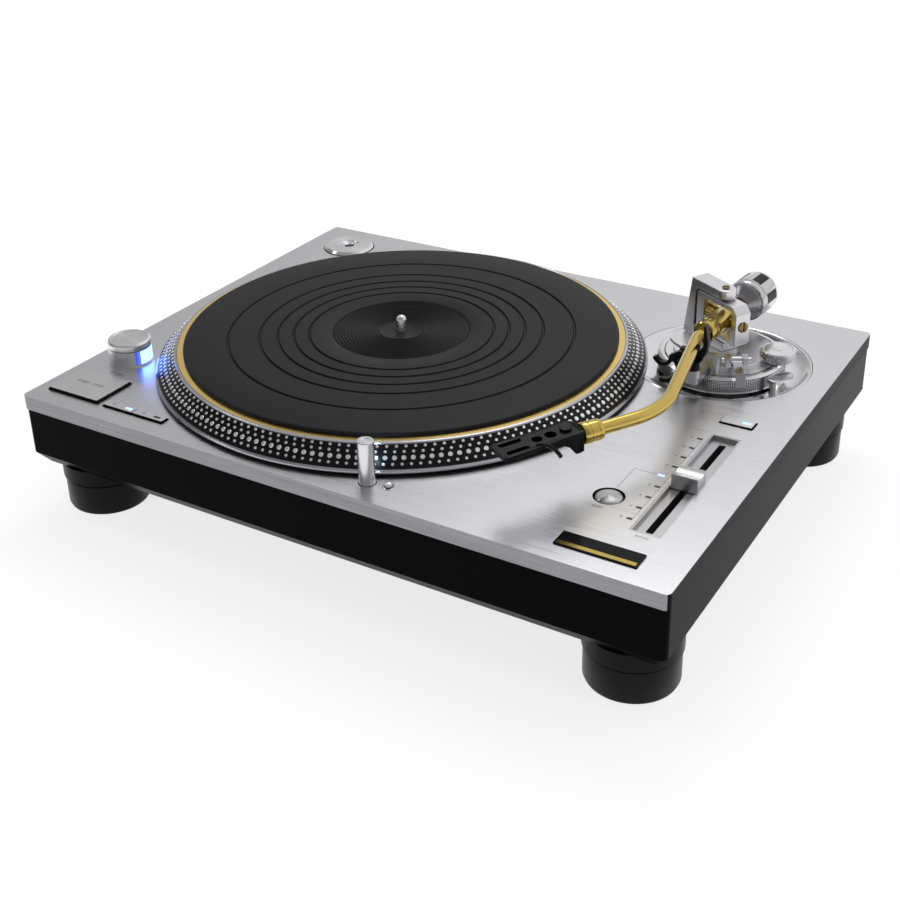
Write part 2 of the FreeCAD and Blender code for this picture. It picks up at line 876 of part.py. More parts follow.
def make_motor():
    """The fixed half of the motor: housing, bearing, winding board and coils."""
    where = {"x": "spindle_x", "y": "spindle_y"}
    flange_top = f"{under_plate} + flange_thick"
    cup_inner = "motor_cup - cup_wall"
    housing = Piece("motor_housing", **where)
    housing.turned(
        [
            ("sleeve_radius + turning_gap", "cup_low"),
            ("motor_cup", "cup_low"),
            ("motor_cup", under_plate),
            ("motor_flange", under_plate),
            ("motor_flange", flange_top),
            (cup_inner, flange_top),
            (cup_inner, "cup_low + cup_wall"),
            ("sleeve_radius + 6", "cup_low + cup_wall"),
            ("sleeve_radius + 6", "board_level"),
            ("sleeve_radius + turning_gap", "board_level"),
        ]
    )
    sleeve = Piece("bearing_sleeve", **where)
    bore = "journal_radius + turning_gap"
    sleeve.turned(
        [
            (0, "sleeve_low"),
            ("sleeve_radius - 1", "sleeve_low"),
            ("sleeve_radius", "sleeve_low + 1"),
            ("sleeve_radius", "sleeve_top - 1"),
            ("sleeve_radius - 1", "sleeve_top"),
            (bore, "sleeve_top"),
            (bore, "sleeve_low + 4"),
            (0, "sleeve_low + 4"),
        ]
    )
    board = rod("winding_board", "spindle_x", "spindle_y", "board_level", "board_level + board_thick",
                f"{cup_inner} - seat_gap", "sleeve_radius + seat_gap")
    coils = []
    for number in range(SIZES["coil_count"]):
        turn = 360 / SIZES["coil_count"] * number
        x = f"spindle_x + coil_ring * cos({turn})"
        y = f"spindle_y + coil_ring * sin({turn})"
        coils.append(rod(f"coil_{number + 1}", x, y, "board_level + board_thick", "coil_top", "coil_radius",
                         "coil_bore"))
    group("stator", [board, *coils])


def make_electronics():
    """The boards inside the case."""
    board = Piece("control_board")
    board.pad(
        [box("start_left + board_margin", "speed_right + board_past_keys", "foot_front + boss_radius + board_margin",
             "pod_y + board_past_pod", 2),
         circle("pod_x", "pod_y", "pod_shaft + 1")],
        f"{under_roof} - seat_gap - board_thick",
        f"{under_roof} - seat_gap",
    )
    supply = Piece("power_supply")
    floor = "case_floor + base_thick"
    far = f"({half_depth} - supply_from_back)"
    near = f"({far} - supply_length)"
    left, right = "(power_x - supply_left)", "(power_x + supply_right)"
    supply.pad([box(left, right, near, far, 2)], floor, f"{floor} + board_thick")
    block = box(f"{left} + supply_margin", f"{left} + supply_margin + transformer_width", f"{near} + supply_margin",
                f"{far} - supply_margin", 2)
    supply.pad([block], f"{floor} + board_thick", f"{floor} + supply_height")
    capacitors = [circle(f"{right} - supply_margin - capacitor_radius / 2",
                         f"{near} + capacitor_pitch * {number}", "capacitor_radius") for number in (1, 2, 3)]
    supply.pad(capacitors, f"{floor} + board_thick", f"{floor} + supply_height - capacitor_drop")


def make_pod():
    """The power switch and platter light: a lit housing with a turning knob on top."""
    where = {"x": "pod_x", "y": "pod_y"}
    sweep = "window_sweep"
    turned_place = dict(where, azimuth="window_azimuth - window_sweep / 2")
    window_low = "deck_height + window_rise"
    housing = Piece("pod_housing", **turned_place)
    housing.turned(
        [
            ("pod_shaft + turning_gap", "deck_height"),
            ("pod_radius", "deck_height"),
            ("pod_radius", "pod_split - 0.3"),
            ("pod_shaft + turning_gap", "pod_split - 0.3"),
        ]
    )
    housing.turned(
        [
            ("lens_inner", window_low),
            ("pod_radius + 1", window_low),
            ("pod_radius + 1", "window_top"),
            ("lens_inner", "window_top"),
        ],
        sweep=sweep,
        cuts=True,
    )
    lens = Piece("strobe_lens", **turned_place)
    lens.turned(
        [
            ("lens_inner", window_low),
            ("pod_radius - 0.2", window_low),
            ("pod_radius - 0.2", "window_top"),
            ("lens_inner", "window_top"),
        ],
        sweep=sweep,
    )
    knob = Piece("power_knob", **where)
    knob.turned(
        [
            (0, f"{under_roof} - 8"),
            ("pod_shaft", f"{under_roof} - 8"),
            ("pod_shaft", "pod_split"),
            ("pod_radius - 0.6", "pod_split"),
            ("pod_radius", "pod_split + 0.6"),
            ("pod_radius", "pod_top - 1"),
            ("pod_radius - 1", "pod_top"),
            ("pod_radius - 2", "pod_top"),
            ("pod_radius - 2.4", "pod_top - 0.3"),
            (0, "pod_top - 0.3"),
        ]
    )


def key(label, x_low, x_high, y_low, y_high, top, corner):
    """A flat key standing a little proud of its opening."""
    piece = Piece(label)
    piece.pad([box(f"{x_low} + key_gap", f"{x_high} - key_gap", f"{y_low} + key_gap", f"{y_high} - key_gap",
                   corner)], "key_low", top)
    piece.dress("Chamfer", 0.3, level(top))


def make_keys():
    """The start and stop key, the two speed keys and the pitch range key."""
    key("start_stop_button", "start_left", "start_right", "start_front", "start_back",
        "deck_height + start_raise", 1)
    key("speed_button_33", "speed_left", "speed_split", "speed_front", "speed_back",
        "deck_height + speed_raise", 0.7)
    key("speed_button_45", "speed_split", "speed_right", "speed_front", "speed_back",
        "deck_height + speed_raise", 0.7)
    key("pitch_range_button", "range_x - range_width / 2", "range_x + range_width / 2",
        "range_y - range_length / 2", "range_y + range_length / 2", "deck_height + range_raise", 0.7)
    reset = Piece("reset_button", x="reset_x", y="reset_y")
    reset.turned(
        [
            (0, "key_low"),
            ("reset_radius", "key_low"),
            ("reset_radius", "reset_top - reset_dome"),
            ("reset_radius - 1.2", "reset_top - reset_dome / 2"),
            ("reset_radius / 2", "reset_top - reset_dome / 8"),
            (0, "reset_top"),
        ]
    )


def make_target_light():
    """The pop-up light at the front edge and the button that lets it rise."""
    light = Piece("target_light", x="target_x", y="target_y")
    light.turned(
        [
            (0, "target_low"),
            ("target_radius", "target_low"),
            ("target_radius", "target_top - 5.5"),
            ("target_radius - 0.3", "target_top - 5.2"),
            ("target_radius", "target_top - 4.9"),
            ("target_radius", "target_top - 0.5"),
            ("target_radius - 0.5", "target_top"),
            (0, "target_top"),
        ]
    )
    release = Piece("target_release_button", x="release_x", y="release_y")
    release.turned(
        [
            (0, "key_low"),
            ("release_radius", "key_low"),
            ("release_radius", "release_top - 0.8"),
            ("release_radius - 0.8", "release_top"),
            (0, "release_top"),
        ]
    )


def make_pitch_fader():
    """The slide control, sunk into the plate, and its sliding knob."""
    tray_top = "deck_height - tray_depth"
    body_low = f"({under_roof} - 8)"
    body = Piece("pitch_fader_body")
    outline = middle_box("fader_x", "fader_y", "tray_width - 2 * seat_gap", "tray_length - 2 * seat_gap", 0.8)
    body.pad([outline], body_low, tray_top)
    body.pocket([middle_box("fader_x", "fader_y", "slot_width", "slot_length", 1)], f"{body_low} + 2", tray_top)
    knob = Piece("pitch_fader_knob")
    knob_low = f"{tray_top} + seat_gap"
    knob.pad([middle_box("fader_x", "fader_y", "knob_width", "knob_length", 1)], knob_low, "knob_top")
    knob.pad([middle_box("fader_x", "fader_y", "stem_width", "stem_length")], f"{body_low} + 4", knob_low)
    rise = "knob_top - knob_dip + knob_groove"
    knob.pocket([circle("fader_y", rise, "knob_groove")], "fader_x - knob_width", "fader_x + knob_width",
                plane="YZ")


def make_trim():
    """The bare badge plate and the adaptor for wide-holed records."""
    badge = Piece("badge_plate")
    badge.pad([middle_box("badge_x", "badge_y", "badge_width", "badge_length", 0.6)], "deck_height",
              "deck_height + badge_thick")
    adaptor = Piece("single_adaptor", x="adaptor_x", y="adaptor_y")
    pocket_low = "deck_height - pocket_depth"
    adaptor.turned(
        [
            ("spindle_radius + turning_gap", pocket_low),
            ("adaptor_radius - 0.8", pocket_low),
            ("adaptor_radius", f"{pocket_low} + 0.8"),
            ("adaptor_radius", "deck_height + adaptor_rise - 1.8"),
            ("adaptor_radius - 1.8", "deck_height + adaptor_rise"),
            ("spindle_radius + turning_gap + 3", "deck_height + adaptor_rise"),
            ("spindle_radius + turning_gap", "deck_height + adaptor_rise - 1"),
        ]
    )


def bay(name, x, width):
    """An open-backed box set into the back wall."""
    y_mouth = f"{half_depth} - case_inset"
    y_floor = f"{y_mouth} - bay_depth"
    x_low, x_high = f"{x} - {width} / 2 + seat_gap", f"{x} + {width} / 2 - seat_gap"
    outer = doc.addObject("Part::Box", name + "_block")
    bind(outer, "Length", f"{width} - 2 * seat_gap")
    bind(outer, "Width", "bay_depth")
    bind(outer, "Height", "bay_high - bay_low - 2 * seat_gap")
    place(outer, x_low, y_floor, "bay_low + seat_gap")
    room = doc.addObject("Part::Box", name + "_room")
    bind(room, "Length", f"({x_high}) - ({x_low}) - 2 * bay_wall")
    bind(room, "Width", "bay_depth")
    bind(room, "Height", "bay_high - bay_low - 2 * seat_gap - 2 * bay_wall")
    place(room, f"{x_low} + bay_wall", f"{y_floor} + bay_wall", "bay_low + seat_gap + bay_wall")
    cut = doc.addObject("Part::Cut", name)
    cut.Base = outer
    cut.Tool = room
    return cut


def make_sockets():
    """The two sunk bays in the back wall with the mains inlet, phono sockets and earth post."""
    group("terminal_bays", [bay("power_bay", "power_x", "power_width"), bay("signal_bay", "signal_x", "signal_width")])
    y_face = f"({half_depth} - case_inset - bay_depth + bay_wall)"
    z_middle = "(bay_low + bay_high) / 2"
    inlet = Piece("mains_inlet")
    inlet.pad([middle_box("power_x", z_middle, 28, 20, 2)], f"-{y_face} - 15", f"-{y_face}", plane="XZ")
    inlet.pocket([middle_box("power_x", z_middle, 22, 14.5, 3)], f"-{y_face} - 16", f"-{y_face} - 2", plane="XZ")
    pins = [middle_box(f"power_x + {shift}", z_middle, 2, 4) for shift in (-5, 5)]
    inlet.pad(pins, f"-{y_face} - 11", f"-{y_face} - 1.5", plane="XZ")
    sockets = []
    for side in (-1, 1):
        x = f"(signal_x - 10 + {side} * phono_pitch / 2)"
        sleeve = lying_rod(f"phono_sleeve_{side + 1}", x, y_face, z_middle, 90, 0, "phono_length", "phono_radius")
        flange = lying_rod(f"phono_flange_{side + 1}", x, y_face, z_middle, 90, 0, 2, "phono_radius + 3")
        hole = lying_rod(f"phono_hole_{side + 1}", x, y_face, z_middle, 90, 1, "phono_length + 1", "phono_pin_hole")
        shell = doc.addObject("Part::Fuse", f"phono_shell_{side + 1}")
        shell.Base = sleeve
        shell.Tool = flange
        socket = doc.addObject("Part::Cut", f"phono_socket_{side + 1}")
        socket.Base = shell
        socket.Tool = hole
        sockets.append(socket)
    group("phono_sockets", sockets)
    earth_x = "signal_x + signal_width / 2 - 14"
    fused("ground_terminal", [
        lying_rod("earth_stud", earth_x, y_face, z_middle, 90, 0, 14, 2),
        lying_rod("earth_nut", earth_x, y_face, z_middle, 90, 4, 11, 5),
        lying_rod("earth_washer", earth_x, y_face, z_middle, 90, 0, 2, 4.5),
    ])


def make_arm_base():
    """The sunk well, the fixed column, the knurled height dial and the deck that it raises."""
    where = {"x": "pivot_x", "y": "pivot_y"}
    well_floor = "deck_height - well_depth"
    well = Piece("arm_well", **where)
    well.turned(
        [
            ("base_inner + 1", under_plate),
            ("well_radius", under_plate),
            ("well_radius", "deck_height - 0.4"),
            ("well_radius - 0.4", "deck_height"),
            ("well_dish", "deck_height"),
            ("well_dish - 5", f"{well_floor} + 2.2"),
            ("well_floor_radius", well_floor),
            ("base_inner + 1", well_floor),
        ]
    )
    column = Piece("arm_base", **where)
    column.turned(
        [
            ("base_inner", well_floor),
            ("base_flange", well_floor),
            ("base_flange", f"{well_floor} + 1"),
            ("base_outer", f"{well_floor} + 1"),
            ("base_outer", "base_top"),
            ("base_inner", "base_top"),
        ]
    )
    dial = Piece("height_dial", **where)
    dial.turned(
        [
            ("base_outer + turning_gap", "dial_low"),
            ("dial_radius - 1", "dial_low"),
            ("dial_radius", "dial_low + 1"),
            ("dial_radius", "dial_top - 1.6"),
            ("dial_radius - 1.6", "dial_top"),
            ("dial_bore", "dial_top"),
            ("dial_bore", "dial_step"),
            ("base_outer + turning_gap", "dial_step"),
        ]
    )
    deck_top = "deck_low + deck_thick"
    deck = Piece("arm_deck", **where)
    deck.turned(
        [
            (20, f"{under_roof} - 8"),
            ("base_inner - turning_gap", f"{under_roof} - 8"),
            ("base_inner - turning_gap", "deck_low"),
            ("deck_radius", "deck_low"),
            ("deck_radius", deck_top),
            (0, deck_top),
            (0, "deck_low"),
            (20, "deck_low"),
        ]
    )
    rest_x, rest_y = "rest_x - pivot_x", "rest_y - pivot_y"
    skate_x, skate_y = "skate_x - pivot_x", "skate_y - pivot_y"
    deck.pad([circle(0, 0, "deck_radius - 5")], deck_top, "bridge_top")
    deck.pad([box(f"{rest_x} - 4.5", f"{rest_x} + 5.5", f"{rest_y} - 6", "-deck_radius + 12", 2)], "bridge_low",
             "bridge_top")
    deck.pad([circle(f"{rest_x} + 0.6", rest_y, "rest_foot")], "bridge_top", "rest_foot_top")
    deck.pad([box("deck_radius - 12", skate_x, f"{skate_y} - 8", f"{skate_y} + 8", 2)], "bridge_low",
             "skate_low - 0.3")
    deck.pad([circle(skate_x, skate_y, "skate_radius - 1")], "bridge_low", "skate_low - 0.3")
    rod_x = "lifter_radius * cos(lifter_rod_azimuth)"
    rod_y = "lifter_radius * sin(lifter_rod_azimuth)"
    deck.pocket([circle(rod_x, rod_y, "lifter_rod + turning_gap")], "deck_low", "bridge_top")
    deck.pocket([circle(skate_x, skate_y, "skate_radius + 0.5")], "skate_low - 0.3", "bridge_top")
    lock_x, lock_y = "lock_reach * cos(lock_azimuth)", "lock_reach * sin(lock_azimuth)"
    well.pocket([circle(lock_x, lock_y, "lock_post + turning_gap")], under_plate, f"{well_floor} + 3")
    lock = Piece("height_lock_lever", azimuth="lock_azimuth", **where)
    lock.pad([circle("lock_reach", 0, "lock_post")], f"{under_plate} + 0.5", "deck_height + 3")
    lock.pad([box("lock_reach - 3.5", "lock_reach + 3.5", -4, 15, 2)], "deck_height + 3", "deck_height + 5.4")


def make_antiskate():
    """The two-tier dial at the right of the deck."""
    dial = Piece("antiskate_dial", x="skate_x", y="skate_y")
    dial.turned(
        [
            (0, "skate_low"),
            ("skate_radius", "skate_low"),
            ("skate_radius", "skate_step - 0.3"),
            ("skate_radius - 0.3", "skate_step"),
            ("skate_cap", "skate_step"),
            ("skate_cap", "skate_top - 0.6"),
            ("skate_cap - 0.6", "skate_top"),
            (0, "skate_top"),
        ]
    )


def make_cueing():
    """The cue lever on its axle block, and the lifter bar that it raises under the tube."""
    where = {"x": "cue_x", "y": "cue_y", "azimuth": "cue_azimuth"}
    block = Piece("cue_bracket", **where)
    block.pad([box(-4, 4, 3.6, 7.6, 1), box(-4, 4, -7.6, -3.6, 1)], "bridge_top", "cue_axle_height + 3")
    hole = circle(0, "cue_axle_height", "cue_axle + turning_gap")
    block.pocket([hole], -9, 9, plane="XZ")
    lever = Piece("cue_lever", **where)
    lever.pad([circle(0, "cue_axle_height", "cue_axle")], -9.5, 9.5, plane="XZ")
    lever.pad([circle(0, "cue_axle_height", "cue_axle + 0.9")], -3.3, 3.3, plane="XZ")
    strip_top = "cue_axle_height + 1.2"
    strip = path(
        [
            (0, "cue_axle_height - 1.2"),
            ("cue_reach - 2", "cue_axle_height - 1.2"),
            ("cue_reach - 2", "cue_axle_height - 9"),
            ("cue_reach", "cue_axle_height - 9"),
            ("cue_reach", strip_top),
            (0, strip_top),
        ]
    )
    lever.pad([strip], -3, 3, plane="XZ")
    inner, outer = "lifter_radius - lifter_width / 2", "lifter_radius + lifter_width / 2"
    low = "lifter_top - lifter_thick"
    sweep = 70
    bar = Piece("cue_lifter", x="pivot_x", y="pivot_y", azimuth=f"lifter_rod_azimuth + 5 - {sweep}")
    bar.turned([(inner, low), (outer, low), (outer, "lifter_top"), (inner, "lifter_top")], sweep=sweep)
    rod_x = f"lifter_radius * cos({sweep} - 5)"
    rod_y = f"lifter_radius * sin({sweep} - 5)"
    bar.pad([circle(rod_x, rod_y, "lifter_rod")], "dial_step + 0.6", low)


def make_arm_rest():
    """The cradle that carries the tube at rest, and its hinged clamp, swung open."""
    where = {"x": "rest_x", "y": "rest_y"}
    saddle = "arm_height - tube_radius - seat_gap"
    hinge_x, hinge_z = "-clamp_hinge_x", "arm_height - clamp_hinge_drop"
    rest = Piece("arm_rest", **where)
    outline = path(
        [
            (-4, "rest_foot_top + 5"),
            (4.5, "rest_foot_top + 5"),
            (7.5, "arm_height - 5", 30),
            (8.6, "arm_height + 3"),
            (6.6, "arm_height + 14"),
            (5.4, "arm_height + 14"),
            (5.4, "arm_height", -6),
            (0, saddle),
            (-9.8, saddle),
            (-10.6, "arm_height - 8.5"),
        ]
    )
    rest.pad([outline], "-clamp_thick / 2 - seat_gap - rest_thick", "-clamp_thick / 2 - seat_gap", plane="XZ")
    rest.pad([circle(0.6, 0, "rest_post")], "rest_foot_top", "rest_foot_top + 5")
    rest.pad([box(-3.4, 4.6, 1, "clamp_thick / 2 + seat_gap + rest_thick")], "rest_foot_top + 4",
             "rest_foot_top + 6")
    rest.pad([circle(hinge_x, hinge_z, 1.2)], "-clamp_thick / 2 - seat_gap - 1", "clamp_thick / 2", plane="XZ")
    clamp = Piece("arm_clamp", x=f"rest_x + ({hinge_x})", y="rest_y", z=hinge_z, azimuth="-clamp_open",
                  axis="0; 1; 0")
    half = "clamp_thick / 2"
    clamp.pad([circle(0, 0, 2.8)], f"-{half}", half, plane="XZ")
    link_bar = path([(-2, 1), (2, -1.8), ("clamp_hinge_x - 3.2", "clamp_hinge_drop - 3.4"),
                     ("clamp_hinge_x - 4.3", "clamp_hinge_drop - 1.7"), (1.6, "clamp_hinge_drop - 0.6")])
    clamp.pad([link_bar], f"-{half}", half, plane="XZ")
    inner, outer = "tube_radius + 0.5", "tube_radius + 3"
    grip = [*arc_points("clamp_hinge_x", "clamp_hinge_drop", outer, 190, 100, 50),
            *arc_points("clamp_hinge_x", "clamp_hinge_drop", inner, 50, 120, 205)]
    clamp.pad([path(grip)], f"-{half}", half, plane="XZ")
    tab_x, tab_z = "clamp_hinge_x - 4", "clamp_hinge_drop + 6.2"
    tab = [*arc_points(tab_x, tab_z, "clamp_tab", 110, 180, 250),
           *arc_points(tab_x, tab_z, "clamp_tab - 2.8", 250, 180, 110)]
    clamp.pad([path(tab)], f"-{half}", half, plane="XZ")
    clamp.pocket([circle(0, 0, "1.2 + turning_gap")], f"-{half} - 1", f"{half} + 1", plane="XZ")


def make_gimbal():
    """The fixed yoke, the ring that swings in it on upright pins, and the pins."""
    where = {"x": "pivot_x", "y": "pivot_y", "azimuth": "gimbal_azimuth"}
    bar_low = "yoke_top - yoke_bar"
    foot_top = "ring_low - ring_clearance"
    yoke = Piece("gimbal_yoke", **where)
    yoke.pad(
        [
            path(
                [
                    ("-yoke_back", "bridge_top"),
                    ("yoke_front", "bridge_top"),
                    ("yoke_front", foot_top),
                    ("-yoke_inner + yoke_corner", foot_top, "-yoke_corner"),
                    ("-yoke_inner", f"{foot_top} + yoke_corner"),
                    ("-yoke_inner", f"{bar_low} - yoke_bevel"),
                    ("-yoke_inner + yoke_bevel", bar_low),
                    (0, bar_low),
                    (0, "yoke_top"),
                    ("-yoke_shoulder", "yoke_top"),
                ]
            )
        ],
        "-yoke_half",
        "yoke_half",
        plane="XZ",
    )
    yoke.pad([circle(0, 0, "yoke_half")], bar_low, "yoke_top")
    yoke.pocket([circle(0, 0, "pin_radius + turning_gap")], "bridge_top - 1", "yoke_top + 1")
    ring = Piece("gimbal_ring", **where)
    side = "(ring_window + ring_wall)"
    ring.pad(
        [
            path(
                [
                    ("-ring_tail + ring_edge", "ring_low"),
                    (f"{side} - ring_bevel", "ring_low"),
                    (side, "ring_low + ring_bevel"),
                    (side, "ring_high - ring_shoulder"),
                    (f"{side} - ring_shoulder", "ring_high"),
                    ("-ring_tail + ring_bevel", "ring_high"),
                    ("-ring_tail", "ring_high - ring_bevel"),
                    ("-ring_tail", "ring_low + ring_edge"),
                ]
            ),
            box("-ring_window", "ring_window", "arm_height - ring_window_half", "arm_height + ring_window_half",
                "ring_bevel"),
        ],
        "-ring_half",
        "ring_half",
        plane="XZ",
    )
    hole = circle(0, 0, "pin_radius + turning_gap")
    ring.pocket([hole], "ring_high - pin_hole", "ring_high")
    ring.pocket([hole], "ring_low", "ring_low + pin_hole")
    ring.pocket([circle(0, "arm_height", "cross_pin_radius")], "-ring_tail - ring_edge", side, plane="YZ")
    pins = [
        rod("upper_pin", "pivot_x", "pivot_y", "ring_high - pin_hole + pin_end", "yoke_top", "pin_radius"),
        rod("upper_pin_head", "pivot_x", "pivot_y", "yoke_top", "yoke_top + pin_head", "pin_radius + pin_head"),
    ]
    upper = doc.addObject("Part::Fuse", "upper_pivot_screw")
    upper.Base, upper.Tool = pins
    lower = rod("lower_pivot_screw", "pivot_x", "pivot_y", "bridge_top", "ring_low + pin_hole - pin_end",
                "pin_radius")
    group("upright_pivot_screws", [upper, lower])
    screws = []
    for name, turn, reach in (("right", "gimbal_azimuth", side), ("left", "gimbal_azimuth + 180", "ring_tail")):
        shank = lying_rod(f"cross_pin_{name}", "pivot_x", "pivot_y", "arm_height", turn,
                          "ring_window - cross_pin_hole + pin_end", reach, "cross_pin_radius")
        head = lying_rod(f"cross_head_{name}", "pivot_x", "pivot_y", "arm_height", turn, reach,
                         f"{reach} + cross_head", "cross_head_radius")
        screw = doc.addObject("Part::Fuse", f"cross_screw_{name}")
        screw.Base = shank
        screw.Tool = head
        screws.append(screw)
    group("cross_pivot_screws", screws)


def make_arm():
    """The tilting part of the arm: barrel with its cross shaft, bent tube, collar and headshell."""
    where = {"x": "pivot_x", "y": "pivot_y", "z": "arm_height", "azimuth": "barrel_azimuth"}
    barrel = Piece("pivot_barrel", **where)
    bore = "tube_radius + turning_gap"
    barrel.turned(
        [
            ("-shaft_end", 0),
            ("-shaft_end", "shaft_radius"),
            ("-barrel_back - 3", "shaft_radius"),
            ("-barrel_back", "barrel_radius"),
            ("barrel_front - 0.6", "barrel_radius"),
            ("barrel_front", "barrel_radius - 0.6"),
            ("barrel_front", bore),
            ("tube_start", bore),
            ("tube_start", 0),
        ],
        axis="H",
    )
    cross_turn = "gimbal_azimuth - barrel_azimuth - 90"
    barrel.pad([circle(0, 0, "cross_radius")], "-ring_window + seat_gap", "ring_window - seat_gap", plane="XZ",
               turn=cross_turn)
    hole = circle(0, 0, "cross_pin_radius + turning_gap")
    barrel.pocket([hole], "-ring_window", "-ring_window + cross_pin_hole", plane="XZ", turn=cross_turn)
    barrel.pocket([hole], "ring_window - cross_pin_hole", "ring_window", plane="XZ", turn=cross_turn)

    first, second = "first_bend_angle", "(first_bend_angle + second_bend_angle)"
    first_trim = "first_bend_radius * tan(first_bend_angle / 2)"
    second_trim = "second_bend_radius * tan(-second_bend_angle / 2)"
    bend_x, bend_y = f"(first_bend_reach + tube_long * cos({first}))", f"(tube_long * sin({first}))"
    collar_reach = "(tube_short - collar_length / 2 + 3)"
    spine = path(
        [
            ("tube_start + seat_gap", 0),
            (f"first_bend_reach - {first_trim}", 0, "first_bend_radius"),
            (f"first_bend_reach + {first_trim} * cos({first})", f"{first_trim} * sin({first})"),
            (
                f"{bend_x} - {second_trim} * cos({first})",
                f"{bend_y} - {second_trim} * sin({first})",
                "-second_bend_radius",
            ),
            (f"{bend_x} + {second_trim} * cos({second})", f"{bend_y} + {second_trim} * sin({second})"),
            (f"{bend_x} + {collar_reach} * cos({second})", f"{bend_y} + {collar_reach} * sin({second})"),
        ],
        closed=False,
    )
    tube = Piece("arm_tube", **where)
    pipe = tube.feature("PartDesign::AdditivePipe")
    pipe.Profile = tube.sketch("YZ", "tube_start + seat_gap",
                               [circle(0, 0, "tube_radius"), circle(0, 0, "tube_radius - tube_wall")])
    pipe.Spine = (tube.sketch("XY", 0, [spine]), [])
    tube.run(pipe, cuts=False)

    collar_where = {
        "x": f"pivot_x + first_bend_reach * cos(barrel_azimuth) + tube_long * cos(barrel_azimuth + {first})"
        f" + tube_short * cos(barrel_azimuth + {second})",
        "y": f"pivot_y + first_bend_reach * sin(barrel_azimuth) + tube_long * sin(barrel_azimuth + {first})"
        f" + tube_short * sin(barrel_azimuth + {second})",
        "z": "arm_height",
        "azimuth": f"barrel_azimuth + {second}",
    }
    half = "collar_length / 2"
    collar = Piece("locking_collar", **collar_where)
    collar.turned(
        [
            (f"-{half}", bore),
            (f"-{half}", "collar_outer - 1.2"),
            (f"-{half} + 1.2", "collar_outer"),
            (f"{half} - 0.6", "collar_outer"),
            (half, "collar_outer - 0.6"),
            (half, "neck_radius + turning_gap"),
            (f"-{half} + 3.2", "neck_radius + turning_gap"),
            (f"-{half} + 3.2", bore),
        ],
        axis="H",
    )
    shell = Piece("headshell", **collar_where)
    shell.turned([(f"-{half} + 3.4", 0), (f"-{half} + 3.4", "neck_radius"),
                  ("shell_back + 6", "neck_radius"), ("shell_back + 6", 0)], axis="H")
    slot_x = "shell_front - 8.5"
    slots = [middle_box(slot_x, f"{side} * cartridge_pitch / 2", 11, "cartridge_slot", "cartridge_slot / 2 - 0.05")
             for side in (-1, 1)]
    shell.pad(
        [
            path(
                [
                    ("shell_back", "-neck_radius"),
                    ("shell_back + 14", "-shell_half"),
                    ("shell_front - 2", "-shell_half"),
                    ("shell_front", "-shell_half + 2"),
                    ("shell_front", "shell_half - 2"),
                    ("shell_front - 2", "shell_half"),
                    ("shell_back + 14", "shell_half"),
                    ("shell_back", "neck_radius"),
                ]
            ),
            *slots,
            circle("shell_front - 24", "-shell_half / 2", 2.6),
            circle("shell_front - 24", "shell_half / 2", 2.6),
        ],
        -0.6,
        "shell_thick - 0.6",
    )
    skirts = [box("shell_back + 15", "shell_front - 4", f"{low}", f"{high}") for low, high in
              (("-shell_half", "-shell_half + 1.4"), ("shell_half - 1.4", "shell_half"))]
    shell.pad(skirts, "-shell_skirt", -0.6)
    lift = Piece("finger_lift", **collar_where)
    top = "shell_thick - 0.6"
    lift.pad([path([("shell_front - 36", 3), ("shell_front - 28", 3), ("shell_front - 26", "shell_half + 1"),
                    ("shell_front - 18", "shell_half + lift_reach - 4", -14),
                    ("shell_front - 15", "shell_half + lift_reach"), ("shell_front - 19", "shell_half + lift_reach"),
                    ("shell_front - 34", "shell_half + 1")])], top, f"{top} + 1.2")


def make_counterweight():
    """The weight on the rear shaft and the scale ring in front of it."""
    where = {"x": "pivot_x", "y": "pivot_y", "z": "arm_height", "azimuth": "barrel_azimuth + 180"}
    bore = "shaft_radius + turning_gap"
    ring = Piece("force_scale_ring", **where)
    ring.turned(
        [
            ("scale_front", bore),
            ("scale_front", "scale_nose"),
            ("scale_back - 2", "scale_radius"),
            ("scale_back", "scale_radius"),
            ("scale_back", bore),
        ],
        axis="H",
    )
    weight = Piece("counterweight", **where)
    weight.turned(
        [
            ("weight_front", bore),
            ("weight_front", "weight_radius - 1"),
            ("weight_front + 1", "weight_radius"),
            ("weight_back - 1.5", "weight_radius"),
            ("weight_back", "weight_radius - 1.5"),
            ("weight_back", 0),
            ("shaft_end + 7", 0),
            ("shaft_end + 7", bore),
        ],
        axis="H",
    )


make_top_panel()
make_chassis()
make_base()
make_feet()
make_platter()
make_motor()
make_electronics()
make_pod()
make_keys()
make_target_light()
make_pitch_fader()
make_trim()
make_sockets()
make_arm_base()
make_antiskate()
make_cueing()
make_arm_rest()
make_gimbal()
make_arm()
make_counterweight()
doc.recompute()

for item in doc.Objects:
    if "Invalid" in item.State or "Error" in item.State:
        raise RuntimeError(f"{item.Label} is {item.State}")
for item in parts:
    if item.Shape.isNull() or not item.Shape.isValid():
        raise RuntimeError(f"{item.Label} has no sound shape")

os.makedirs("parts", exist_ok=True)
for item in parts:
    item.Shape.exportStep(f"parts/{item.Label}.step")
    print(f"{item.Label}: {len(item.Shape.Solids)} solids, {item.Shape.Volume:.0f} mm3")
print(len(parts), "nodes")
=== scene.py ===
"""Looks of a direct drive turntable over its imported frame, laid out as an add-on.

Each operator makes one group of pieces. Shapes are written in millimetres, and MM turns them into metres. The floor,
the lamps and the camera are placed in metres.
"""

import math

import bmesh
import bpy
from bpy.props import FloatProperty, FloatVectorProperty, IntProperty, PointerProperty
from mathutils import Matrix, Vector


